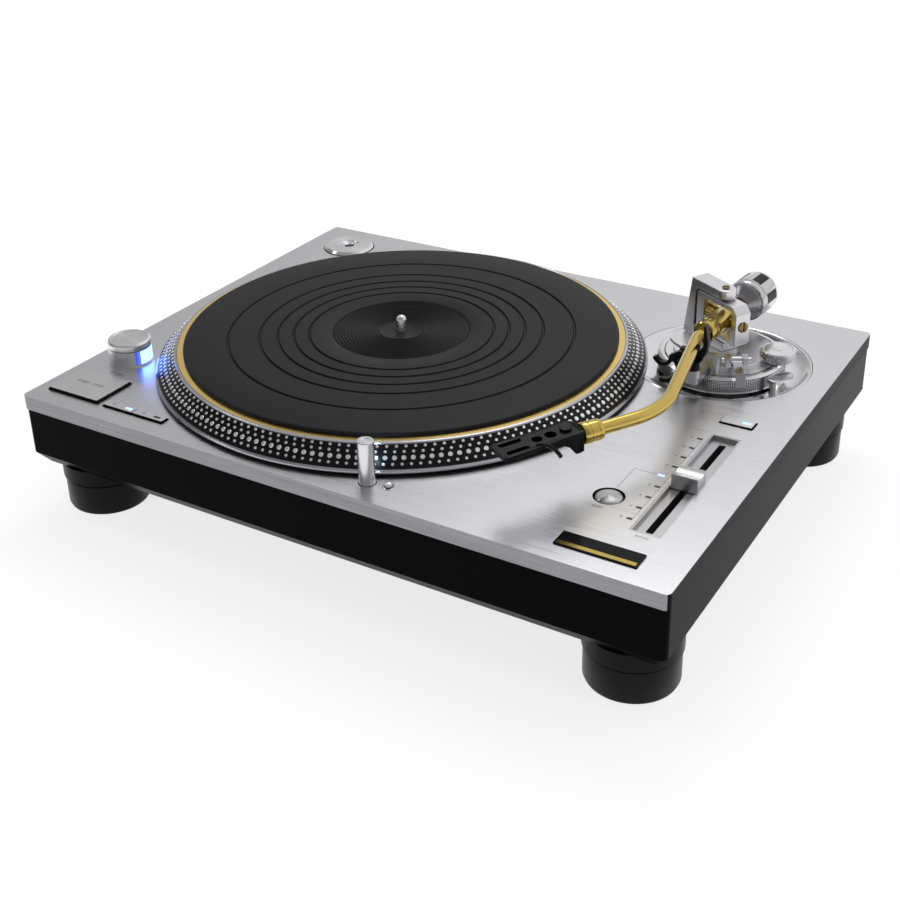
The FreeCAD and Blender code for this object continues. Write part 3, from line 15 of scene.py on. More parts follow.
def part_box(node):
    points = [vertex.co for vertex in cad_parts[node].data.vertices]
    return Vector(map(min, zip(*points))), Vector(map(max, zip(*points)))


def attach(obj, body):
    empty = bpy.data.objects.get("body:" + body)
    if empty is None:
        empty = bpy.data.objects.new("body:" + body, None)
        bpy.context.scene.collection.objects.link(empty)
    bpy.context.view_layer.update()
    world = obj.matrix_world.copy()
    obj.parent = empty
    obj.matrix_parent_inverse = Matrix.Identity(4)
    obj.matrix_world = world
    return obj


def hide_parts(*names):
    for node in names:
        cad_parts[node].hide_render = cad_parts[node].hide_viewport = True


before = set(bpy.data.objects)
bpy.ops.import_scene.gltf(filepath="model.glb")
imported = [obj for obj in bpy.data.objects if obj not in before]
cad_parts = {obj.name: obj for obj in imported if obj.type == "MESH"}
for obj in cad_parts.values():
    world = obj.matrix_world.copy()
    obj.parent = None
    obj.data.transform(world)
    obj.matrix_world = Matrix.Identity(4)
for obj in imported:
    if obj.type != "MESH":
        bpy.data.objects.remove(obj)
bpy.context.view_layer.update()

bl_info = {
    "name": "Direct drive turntable",
    "version": (1, 0, 0),
    "blender": (4, 5, 0),
    "location": "View3D > Sidebar > Turntable",
    "description": "Builds the pieces and finishes of a direct drive turntable over its frame",
    "category": "Object",
}

MM = 0.001


def corners(node):
    """A node's lowest and highest corners, in millimetres."""
    return [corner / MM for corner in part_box(node)]


def middle(node):
    """The middle of a node's box, in millimetres."""
    low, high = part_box(node)
    return (low + high) / 2 / MM


def top_of(node):
    """The highest point of a node, in millimetres."""
    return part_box(node)[1].z / MM


def foot_of(node):
    """The lowest point of a node, in millimetres."""
    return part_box(node)[0].z / MM


def radius_of(node):
    """Half the width of a round node, in millimetres."""
    low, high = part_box(node)
    return (high.x - low.x) / 2 / MM


# Heights and places of the main parts, in millimetres, and headings about the upright axis.
PLATE_THICKNESS = 10
DECK = foot_of("top_panel") + PLATE_THICKNESS
SPINDLE = middle("rubber_mat").xy
PIVOT = middle("arm_base").xy
ARM_HEIGHT = middle("counterweight").z
YOKE_FOOT = 95.0
PRINT_HEIGHT = 0.03
GIMBAL_TURN = math.radians(-30.2)
BARREL_TURN = math.radians(-95)
SHELL_TURN = math.radians(-121)


class FinishSettings(bpy.types.PropertyGroup):
    """Colours of the turntable's finishes."""

    plate_colour: FloatVectorProperty(name="Plate", description="Brushed top plate", subtype="COLOR",
                                      default=(0.70, 0.70, 0.725), min=0, max=1)
    case_colour: FloatVectorProperty(name="Case", description="Moulded case under the plate", subtype="COLOR",
                                     default=(0.007, 0.007, 0.009), min=0, max=1)
    mat_colour: FloatVectorProperty(name="Mat", description="Rubber mat", subtype="COLOR",
                                    default=(0.012, 0.0125, 0.0145), min=0, max=1)
    brass_colour: FloatVectorProperty(name="Brass", description="Platter's top ring", subtype="COLOR",
                                      default=(0.93, 0.67, 0.24), min=0, max=1)
    tube_colour: FloatVectorProperty(name="Tube", description="Gold arm tube and collar", subtype="COLOR",
                                     default=(0.62, 0.46, 0.12), min=0, max=1)
    bright_colour: FloatVectorProperty(name="Bright metal", description="Turned and polished fittings",
                                       subtype="COLOR", default=(0.78, 0.78, 0.80), min=0, max=1)
    lamp_colour: FloatVectorProperty(name="Lamp", description="Light of the indicators", subtype="COLOR",
                                     default=(0.22, 0.38, 1.0), min=0, max=1)


class PlatterSettings(bpy.types.PropertyGroup):
    """Dots round the platter's rim."""

    inner_dots: IntProperty(name="Inner row", description="Dots in the innermost row", default=173, min=12, max=400)
    second_dots: IntProperty(name="Second row", description="Dots in the second row", default=178, min=12, max=400)
    large_dots: IntProperty(name="Large row", description="Dots in the row of large dots", default=184, min=12,
                            max=400)
    outer_dots: IntProperty(name="Outer row", description="Dots in the outermost row", default=189, min=12, max=400)
    small_dot: FloatProperty(name="Small dot", description="Radius of a small dot", default=1.05 * MM, min=0.2 * MM,
                             max=2.5 * MM, subtype="DISTANCE", unit="LENGTH")
    large_dot: FloatProperty(name="Large dot", description="Radius of a large dot", default=1.6 * MM, min=0.2 * MM,
                             max=2.6 * MM, subtype="DISTANCE", unit="LENGTH")


class LightSettings(bpy.types.PropertyGroup):
    """Studio light."""

    key_power: FloatProperty(name="Key", description="Power of the soft key light", default=3.6, min=0, unit="POWER")
    side_power: FloatProperty(name="Side", description="Power of the soft side light", default=1.3, min=0,
                              unit="POWER")
    sky: FloatProperty(name="Sky", description="Strength of the studio's surround", default=0.85, min=0,
                       max=2)


# Shapes ------------------------------------------------------------


def rounded(x_low, x_high, y_low, y_high, radius, steps=5):
    """A rectangle with rounded corners, as points in millimetres."""
    points = []
    starts = ((x_high, y_high, 0), (x_low, y_high, 90), (x_low, y_low, 180), (x_high, y_low, 270))
    for x, y, start in starts:
        cx = x - math.copysign(radius, x - (x_low + x_high) / 2)
        cy = y - math.copysign(radius, y - (y_low + y_high) / 2)
        points += arc(cx, cy, radius, start, start + 90, steps)
    return points


def arc(x, y, radius, start, stop, steps=12):
    """Points along an arc, from one angle to another, in degrees."""
    turns = [math.radians(start + (stop - start) * n / steps) for n in range(steps + 1)]
    return [(x + radius * math.cos(t), y + radius * math.sin(t)) for t in turns]


def disc(x, y, radius, steps=48):
    """A full circle of points."""
    return arc(x, y, radius, 0, 360 - 360 / steps, steps - 1)


def round_box(low, high, radius, gap=0, steps=5):
    """The rounded outline of two corners, with a gap left round it."""
    return rounded(low.x - gap, high.x + gap, low.y - gap, high.y + gap, radius, steps)


def loop(bm, points):
    """A closed ring of edges at height 0 through points in millimetres."""
    verts = [bm.verts.new((x * MM, y * MM, 0)) for x, y in points]
    return [bm.edges.new(pair) for pair in zip(verts, verts[1:] + verts[:1])]


def soften(bm, size):
    """Round every edge that turns by more than an angle in degrees."""
    least_turn = 35
    sharp = [e for e in bm.edges if len(e.link_faces) == 2 and e.calc_face_angle() > math.radians(least_turn)]
    bmesh.ops.bevel(bm, geom=sharp, offset=size * MM, offset_type="OFFSET", affect="EDGES", segments=2, profile=0.5,
                    material=-1, clamp_overlap=True)


def slab(outlines, low, high, bevel=0.3):
    """A plate between two heights from an outline and its holes, with its edges rounded."""
    bm = bmesh.new()
    edges = [e for outline in outlines for e in loop(bm, outline)]
    bmesh.ops.triangle_fill(bm, edges=edges, use_beauty=True)
    bmesh.ops.translate(bm, verts=bm.verts, vec=(0, 0, low * MM))
    grown = bmesh.ops.extrude_face_region(bm, geom=bm.faces)["geom"]
    verts = [v for v in grown if isinstance(v, bmesh.types.BMVert)]
    bmesh.ops.translate(bm, verts=verts, vec=(0, 0, (high - low) * MM))
    bmesh.ops.recalc_face_normals(bm, faces=bm.faces)
    if bevel:
        soften(bm, bevel)
    return bm


def spun(profile, steps=96):
    """A profile of (radius, height) spun round the upright axis; one that starts off the axis is closed first."""
    bm = bmesh.new()
    verts = [bm.verts.new((r * MM, 0, h * MM)) for r, h in profile]
    edges = [bm.edges.new(pair) for pair in zip(verts, verts[1:])]
    if profile[0][0] > 0:
        edges.append(bm.edges.new((verts[-1], verts[0])))
    bmesh.ops.spin(bm, geom=verts + edges, cent=(0, 0, 0), axis=(0, 0, 1), angle=math.radians(360), steps=steps,
                   use_merge=True, use_duplicate=False)
    bmesh.ops.remove_doubles(bm, verts=bm.verts, dist=1e-6)
    bmesh.ops.recalc_face_normals(bm, faces=bm.faces)
    return bm


def copies(bm, count):
    """Repeat what a bmesh holds all round the upright axis."""
    angle = math.radians(360 * (count - 1) / count)
    bmesh.ops.spin(bm, geom=bm.verts[:] + bm.edges[:] + bm.faces[:], cent=(0, 0, 0), axis=(0, 0, 1), angle=angle,
                   steps=count - 1, use_duplicate=True)
    return bm


def put(bm, place=(0, 0, 0), turn=0.0, tilt=None):
    """Turn a bmesh about the upright axis, after an optional tilt, and carry it to a place in millimetres."""
    matrix = Matrix.Translation(Vector(place) * MM) @ Matrix.Rotation(turn, 4, "Z")
    if tilt is not None:
        matrix = matrix @ tilt
    bmesh.ops.transform(bm, matrix=matrix, verts=bm.verts)
    return bm


def join(*parts):
    """Several bmeshes as one."""
    whole = bmesh.new()
    for bm in parts:
        mesh = bpy.data.meshes.new("part")
        bm.to_mesh(mesh)
        bm.free()
        whole.from_mesh(mesh)
        bpy.data.meshes.remove(mesh)
    return whole


LYING = Matrix.Rotation(math.radians(90), 4, "Y")
UPRIGHT = Matrix.Rotation(math.radians(90), 4, "X")


def swept(points, radius, sides):
    """A tube along points in millimetres, one ring at each, bridged into a skin."""
    bm = bmesh.new()
    places = [Vector(p) * MM for p in points]
    rings = []
    for number, place in enumerate(places):
        before = places[max(number - 1, 0)]
        after = places[min(number + 1, len(places) - 1)]
        along = (after - before).normalized()
        side = along.cross(Vector((0, 0, 1))).normalized()
        facing = Matrix((side, side.cross(along), -along)).transposed().to_4x4()
        matrix = Matrix.Translation(place) @ facing
        made = bmesh.ops.create_circle(bm, cap_ends=False, segments=sides, radius=radius * MM, matrix=matrix)
        rings.append({e for v in made["verts"] for e in v.link_edges})
    for near, far in zip(rings, rings[1:]):
        bmesh.ops.bridge_loops(bm, edges=list(near | far))
    bmesh.ops.contextual_create(bm, geom=list(rings[0]))
    bmesh.ops.contextual_create(bm, geom=list(rings[-1]))
    bmesh.ops.recalc_face_normals(bm, faces=bm.faces)
    return bm


def rod(radius, low, high, steps):
    """A plain round rod between two heights."""
    return spun([(0, low), (radius, low), (radius, high), (0, high)], steps)


def slotted(radius, low, high):
    """A screw's head: a disc with two half rounds on it that leave a slot."""
    floor = low + (high - low) * 0.3
    slot_angle = 14
    halves = [slab([arc(0, 0, radius, start + slot_angle, start + 180 - slot_angle, 14)], floor, high, 0.2)
              for start in (0, 180)]
    return join(rod(radius, low, floor, 40), *halves)


def piece(bm, name, body, finish, replaces=(), sharp=32, even=False):
    """Turn a bmesh into a shaded piece that rides on a body."""
    for face in bm.faces:
        face.smooth = True
    for edge in bm.edges:
        if len(edge.link_faces) == 2 and edge.calc_face_angle() > math.radians(sharp):
            edge.smooth = False
    mesh = bpy.data.meshes.new(name)
    bm.to_mesh(mesh)
    bm.free()
    for material in finish if isinstance(finish, (list, tuple)) else [finish]:
        mesh.materials.append(material)
    item = bpy.data.objects.new(name, mesh)
    bpy.context.scene.collection.objects.link(item)
    if even:
        weighted = item.modifiers.new("Even shading", "WEIGHTED_NORMAL")
        weighted.keep_sharp = True
    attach(item, body)
    if replaces:
        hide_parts(*replaces)
    return item


def paint(bm, number, test=lambda middle, normal: True):
    """Give the faces whose middle and normal pass a test another of the piece's materials."""
    for face in bm.faces:
        if test(face.calc_center_median() / MM, face.normal):
            face.material_index = number
    return bm


# Finishes ----------------------------------------------------------


def socket(group, name, kind, side, default=None, low=None, high=None):
    """A named input or output of a node group."""
    made = group.interface.new_socket(name=name, in_out=side, socket_type=kind)
    if default is not None:
        made.default_value = default
    if low is not None:
        made.min_value, made.max_value = low, high
    return made


def new_group(name):
    """An empty shader group with its input and output nodes."""
    group = bpy.data.node_groups.new(name, "ShaderNodeTree")
    return group, group.nodes.new("NodeGroupInput"), group.nodes.new("NodeGroupOutput")


def pattern_group(name, detail, coarseness, stretched=False):
    """A group that turns one noise into a height and into a roughness; its maker feeds the noise."""
    group, source, sink = new_group(name)
    socket(group, "Vector", "NodeSocketVector", "INPUT")
    if stretched:
        socket(group, "Stretch", "NodeSocketVector", "INPUT", (1, 1, 1))
    socket(group, "Scale", "NodeSocketFloat", "INPUT", 1500, 0, 100000)
    socket(group, "Low", "NodeSocketFloat", "INPUT", 0.2, 0, 1)
    socket(group, "High", "NodeSocketFloat", "INPUT", 0.4, 0, 1)
    socket(group, "Height", "NodeSocketFloat", "OUTPUT")
    socket(group, "Roughness", "NodeSocketFloat", "OUTPUT")
    noise = group.nodes.new("ShaderNodeTexNoise")
    noise.inputs["Detail"].default_value = detail
    noise.inputs["Roughness"].default_value = coarseness
    reach = group.nodes.new("ShaderNodeMapRange")
    reach.inputs["From Min"].default_value = 0.3
    reach.inputs["From Max"].default_value = 0.7
    link = group.links.new
    link(source.outputs["Scale"], noise.inputs["Scale"])
    link(noise.outputs["Fac"], reach.inputs["Value"])
    link(source.outputs["Low"], reach.inputs["To Min"])
    link(source.outputs["High"], reach.inputs["To Max"])
    link(noise.outputs["Fac"], sink.inputs["Height"])
    link(reach.outputs["Result"], sink.inputs["Roughness"])
    return group, source, noise


def grain_group():
    """Fine lines along one direction, for brushed metal, and an even speckle where the stretch is all the same."""
    group, source, noise = pattern_group("Grain", 5, 0.7, stretched=True)
    pull = group.nodes.new("ShaderNodeVectorMath")
    pull.operation = "MULTIPLY"
    link = group.links.new
    link(source.outputs["Vector"], pull.inputs[0])
    link(source.outputs["Stretch"], pull.inputs[1])
    link(pull.outputs[0], noise.inputs["Vector"])
    return group


def rings_group():
    """Fine rings round the vector's upright axis, on flat ends and down the sides, for turned metal."""
    group, source, noise = pattern_group("Rings", 4, 0.75)
    noise.noise_dimensions = "1D"
    flat = group.nodes.new("ShaderNodeVectorMath")
    flat.operation = "MULTIPLY"
    flat.inputs[1].default_value = (1, 1, 0)
    away = group.nodes.new("ShaderNodeVectorMath")
    away.operation = "LENGTH"
    upright = group.nodes.new("ShaderNodeSeparateXYZ")
    travel = group.nodes.new("ShaderNodeMath")
    travel.operation = "ADD"
    link = group.links.new
    link(source.outputs["Vector"], flat.inputs[0])
    link(flat.outputs[0], away.inputs[0])
    link(source.outputs["Vector"], upright.inputs[0])
    link(away.outputs["Value"], travel.inputs[0])
    link(upright.outputs["Z"], travel.inputs[1])
    link(travel.outputs[0], noise.inputs["W"])
    return group


def handling_group():
    """A colour that broad faint patches, as handling leaves, and the surface's own lines darken a little."""
    group, source, sink = new_group("Handling")
    socket(group, "Vector", "NodeSocketVector", "INPUT")
    socket(group, "Colour", "NodeSocketColor", "INPUT", (0.5, 0.5, 0.5, 1))
    socket(group, "Patch size", "NodeSocketFloat", "INPUT", 30, 0, 1000)
    socket(group, "Amount", "NodeSocketFloat", "INPUT", 0.08, 0, 1)
    socket(group, "Lines", "NodeSocketFloat", "INPUT", 0, 0, 1)
    socket(group, "Line shade", "NodeSocketFloat", "INPUT", 0, 0, 1)
    socket(group, "Colour", "NodeSocketColor", "OUTPUT")
    noise = group.nodes.new("ShaderNodeTexNoise")
    noise.inputs["Detail"].default_value = 3
    patch, streak, kept = (group.nodes.new("ShaderNodeMath") for _ in range(3))
    patch.operation, streak.operation, kept.operation = "MULTIPLY", "MULTIPLY_ADD", "SUBTRACT"
    kept.inputs[0].default_value = 1
    scaled = group.nodes.new("ShaderNodeVectorMath")
    scaled.operation = "SCALE"
    link = group.links.new
    link(source.outputs["Vector"], noise.inputs["Vector"])
    link(source.outputs["Patch size"], noise.inputs["Scale"])
    link(noise.outputs["Fac"], patch.inputs[0])
    link(source.outputs["Amount"], patch.inputs[1])
    link(source.outputs["Lines"], streak.inputs[0])
    link(source.outputs["Line shade"], streak.inputs[1])
    link(patch.outputs[0], streak.inputs[2])
    link(streak.outputs[0], kept.inputs[1])
    link(source.outputs["Colour"], scaled.inputs[0])
    link(kept.outputs[0], scaled.inputs["Scale"])
    link(scaled.outputs[0], sink.inputs["Colour"])
    return group


GROUPS = {}


def shared(name):
    """A node group, built the first time that it is asked for."""
    if name not in GROUPS:
        GROUPS[name] = {"Grain": grain_group, "Rings": rings_group, "Handling": handling_group}[name]()
    return GROUPS[name]


def finish(name, colour, metallic=0.0, rough=(0.3, 0.4), pattern="Grain", stretch=(1, 1, 1), scale=1500.0,
           bump=0.1, depth=0.02, centre=(0, 0, 0), axis=None, patches=0.06, shade=0.0, **sockets):
    """A material with a fine pattern in its roughness and surface, on Object coordinates.

    centre is in millimetres. axis is the level direction that the pattern's rings go round, where it isn't upright.
    shade is how much the pattern darkens the colour.
    """
    if name in bpy.data.materials:
        return bpy.data.materials[name]
    material = bpy.data.materials.new(name)
    material.use_nodes = True
    tree = material.node_tree
    shader = tree.nodes["Principled BSDF"]
    coords = tree.nodes.new("ShaderNodeTexCoord")
    carry = tree.nodes.new("ShaderNodeMapping")
    turn = Matrix.Identity(3)
    if axis is not None:
        turn = Matrix.Rotation(math.radians(-90), 3, "Y") @ Matrix.Rotation(-axis, 3, "Z")
    carry.inputs["Rotation"].default_value = turn.to_euler("XYZ")
    carry.inputs["Location"].default_value = -(turn @ (Vector(centre) * MM))
    made = tree.nodes.new("ShaderNodeGroup")
    made.node_tree = shared(pattern)
    made.inputs["Scale"].default_value = scale
    made.inputs["Low"].default_value, made.inputs["High"].default_value = rough
    if pattern == "Grain":
        made.inputs["Stretch"].default_value = stretch
    worn = tree.nodes.new("ShaderNodeGroup")
    worn.node_tree = shared("Handling")
    worn.inputs["Colour"].default_value = (*colour, 1)
    worn.inputs["Amount"].default_value = patches
    worn.inputs["Line shade"].default_value = shade
    relief = tree.nodes.new("ShaderNodeBump")
    relief.inputs["Strength"].default_value = bump
    relief.inputs["Distance"].default_value = depth * MM
    link = tree.links.new
    link(coords.outputs["Object"], carry.inputs["Vector"])
    link(carry.outputs["Vector"], made.inputs["Vector"])
    link(carry.outputs["Vector"], worn.inputs["Vector"])
    link(made.outputs["Height"], relief.inputs["Height"])
    link(made.outputs["Height"], worn.inputs["Lines"])
    link(relief.outputs["Normal"], shader.inputs["Normal"])
    link(made.outputs["Roughness"], shader.inputs["Roughness"])
    link(worn.outputs["Colour"], shader.inputs["Base Color"])
    shader.inputs["Metallic"].default_value = metallic
    for socket_name, value in sockets.items():
        shader.inputs[socket_name.replace("_", " ")].default_value = value
    return material


def colours():
    """The scene's finish settings."""
    return bpy.context.scene.turntable_finish


ALONG_X, ALONG_Y = (1, 90, 90), (90, 1, 90)


def lined(name, colour, rough, bump, shade, stretch=ALONG_X, depth=0.02, metallic=1.0, **sockets):
    """Metal brushed along one direction."""
    return finish(name, colour, metallic, rough, stretch=stretch, scale=12, bump=bump, depth=depth, shade=shade,
                  **sockets)


def brushed():
    """The top plate's brushed, clear anodised aluminium."""
    return lined("Brushed aluminium", colours().plate_colour, (0.24, 0.4), 0.09, 0.08, depth=0.03)


def brushed_edge():
    """The plate's brushed sides, painted darker as shade."""
    return lined("Painted shade brushed edge", (0.40, 0.40, 0.42), (0.26, 0.4), 0.3, 0.5, depth=0.03)


def dark_edge():
    """The plate's right side, painted near black as shade."""
    return lined("Painted shade right edge", (0.03, 0.03, 0.034), (0.26, 0.4), 0.3, 0.3, ALONG_Y, depth=0.03, metallic=0.0,
                 Specular_IOR_Level=0.02)


def turned(name, node, colour=None, rough=(0.12, 0.26), bump=0.25, spread=0.8):
    """Turned metal with rings about a node's upright axis, whose highlights spread across the rings."""
    return finish(name, colour or colours().bright_colour, 1.0, rough, "Rings", scale=3500, bump=bump, depth=0.02,
                  centre=middle(node), Anisotropic=spread, Anisotropic_Rotation=0.25)


def lying_turned(name, axis, colour=None, rough=(0.08, 0.2), bump=0.2):
    """Turned metal with rings about a level axis through the arm's pivot."""
    return finish(name, colour or colours().bright_colour, 1.0, rough, "Rings", scale=3500, bump=bump, depth=0.02,
                  centre=(*PIVOT, ARM_HEIGHT), axis=axis)


def satin_silver():
    """Blasted and anodised metal of the arm's frame."""
    return finish("Satin silver", (0.74, 0.74, 0.76), 1.0, (0.26, 0.34), scale=6000, bump=0.12, depth=0.01)


def bright_silver():
    """Polished fittings with no turning marks."""
    return finish("Bright silver", colours().bright_colour, 1.0, (0.08, 0.16), scale=900, bump=0.03, depth=0.01)


def black_plastic():
    """Satin black moulded plastic."""
    return finish("Black plastic", (0.008, 0.008, 0.009), 0.0, (0.24, 0.34), scale=2500, bump=0.1, depth=0.02,
                  Specular_IOR_Level=0.2)


def gold():
    """Polished gold-coloured arm metal."""
    return finish("Gold arm metal", colours().tube_colour, 1.0, (0.1, 0.2), scale=1200, bump=0.04, depth=0.01)


def print_black():
    """Screen-printed marks."""
    return finish("Printed marks", (0.03, 0.03, 0.035), 0.0, (0.45, 0.6), scale=3000, bump=0.05, depth=0.01)


def lit(name, colour, strength):
    """A glowing window or indicator, a little uneven across its width."""
    if name in bpy.data.materials:
        return bpy.data.materials[name]
    material = bpy.data.materials.new(name)
    material.use_nodes = True
    tree = material.node_tree
    shader = tree.nodes["Principled BSDF"]
    coords = tree.nodes.new("ShaderNodeTexCoord")
    worn = tree.nodes.new("ShaderNodeGroup")
    worn.node_tree = shared("Handling")
    worn.inputs["Colour"].default_value = (*colour, 1)
    worn.inputs["Patch size"].default_value = 400
    worn.inputs["Amount"].default_value = 0.12
    tree.links.new(coords.outputs["Object"], worn.inputs["Vector"])
    tree.links.new(worn.outputs["Colour"], shader.inputs["Base Color"])
    tree.links.new(worn.outputs["Colour"], shader.inputs["Emission Color"])
    shader.inputs["Emission Strength"].default_value = strength
    shader.inputs["Roughness"].default_value = 0.25
    return material


def dress(material, *nodes):
    """Give CAD nodes a finish."""
    for node in nodes:
        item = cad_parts[node]
        item.data.materials.clear()
        item.data.materials.append(material)


def indicator():
    """A small lit indicator."""
    return lit("Indicator light", colours().lamp_colour, 3)


def words(text, size, x, y, height=DECK):
    """Printed characters on a surface at a height, round the middle of their line."""
    curve = bpy.data.curves.new("Words", "FONT")
    curve.body = text
    curve.size = size * MM
    curve.align_x, curve.align_y = "CENTER", "CENTER"
    curve.extrude = 0.01 * MM
    curve.resolution_u = 3
    holder = bpy.data.objects.new("Words", curve)
    bpy.context.scene.collection.objects.link(holder)
    mesh = bpy.data.meshes.new_from_object(holder.evaluated_get(bpy.context.evaluated_depsgraph_get()))
    bpy.data.objects.remove(holder)
    bm = bmesh.new()
    bm.from_mesh(mesh)
    bpy.data.meshes.remove(mesh)
    clear_of_surface = 0.02
    return put(bm, (x, y, height + clear_of_surface))


def printed(*box, radius=0.05):
    """A printed bar on the plate between two X and two Y."""
    return slab([rounded(*box, radius, 1)], DECK, DECK + PRINT_HEIGHT, 0)


def mark(bm, name, body="base"):
    """Make printed shapes a piece."""
    piece(bm, name, body, print_black())


# Pieces ------------------------------------------------------------


class TURNTABLE_OT_plinth(bpy.types.Operator):
    """Brushed top plate, black case and bottom cover"""

    bl_idname = "turntable.plinth"
    bl_label = "Plinth"

    def execute(self, context):
        low, high = corners("top_panel")
        first_key, last_key = corners("speed_button_33")[0], corners("speed_button_45")[1]
        motor_hole, well_hole, key_gap, margin = 71.9, 59.6, 0.9, 2
        round_holes = (("target_light", 5.4, 32), ("target_release_button", 3.4, 32), ("reset_button", 9.2, 40),
                       ("single_adaptor", 20.5, 64))
        holes = [
            disc(*SPINDLE, motor_hole, 128),
            disc(*PIVOT, well_hole, 128),
            round_box(*corners("start_stop_button"), 1, key_gap),
            round_box(first_key, last_key, 1, key_gap),
            *(disc(*middle(node).xy, radius, steps) for node, radius, steps in round_holes),
            round_box(*corners("pitch_fader_body"), 0.6),
            round_box(*corners("pitch_range_button"), 1, key_gap),
        ]
        plate = slab([round_box(low, high, 3.4), *holes], low.z, high.z, 0.35)
        # Painted shade: the walls of the plate's holes are painted black, so the gaps round keys and fittings read
        # dark.
        paint(plate, 2, lambda c, n: abs(n.z) < 0.5)
        # Painted shade: the plate's outer sides take a darker brushed finish, for the dimmer light they get.
        paint(plate, 1, lambda c, n: abs(n.z) < 0.5 and (min(c.x - low.x, high.x - c.x) < margin
                                                         or min(c.y - low.y, high.y - c.y) < margin))
        # Painted shade: the plate's right side is painted near black, as it lies in shade.
        paint(plate, 3, lambda c, n: n.x > 0.5 and high.x - c.x < margin)
        piece(plate, "Top_plate", "base",
              [brushed(), brushed_edge(), black_plastic(), dark_edge()], ["top_panel"], even=True)
        case = finish("Black case", colours().case_colour, 0.0, (0.2, 0.3), scale=1800, bump=0.06, depth=0.02,
                      Specular_IOR_Level=0.02)
        dress(case, "chassis")
        rubber = finish("Damping rubber", (0.014, 0.014, 0.015), 0.0, (0.55, 0.75), scale=900, bump=0.3, depth=0.05,
                        Specular_IOR_Level=0.3)
        dress(rubber, "base_cover", "platter_damping")
        dress(bright_silver(), "base_screws")
        pocket, pocket_floor = middle("single_adaptor"), DECK - 5.2
        floor = rod(20.4, pocket_floor - 0.4, pocket_floor, 64)
        piece(put(floor, (pocket.x, pocket.y, 0)), "Adaptor_pocket", "base", brushed())
        return {"FINISHED"}


class TURNTABLE_OT_feet(bpy.types.Operator):
    """Four screw feet, each a cap under its collar"""

    bl_idname = "turntable.feet"
    bl_label = "Feet"

    def execute(self, context):
        black = finish("Foot", (0.009, 0.009, 0.010), 0.0, (0.28, 0.4), scale=1500, bump=0.1, depth=0.03,
                       Specular_IOR_Level=0.12)
        dress(black, "foot_collars")
        for corner in ("front_left", "front_right", "back_left", "back_right"):
            low, high = corners("foot_" + corner)
            radius = (high.x - low.x) / 2
            cap = spun(
                [
                    (0, low.z + 0.6),
                    (radius - 5, low.z + 0.6),
                    (radius - 5, low.z),
                    (radius - 3, low.z),
                    (radius - 0.9, low.z + 0.9),
                    (radius, low.z + 3),
                    (radius, high.z - 1.2),
                    (radius - 1.2, high.z),
                    (6, high.z),
                    (0, high.z),
                ]
            )
            put(cap, ((low.x + high.x) / 2, (low.y + high.y) / 2, 0))
            piece(cap, "Foot_" + corner, corner + "_foot", black, ["foot_" + corner])
        return {"FINISHED"}


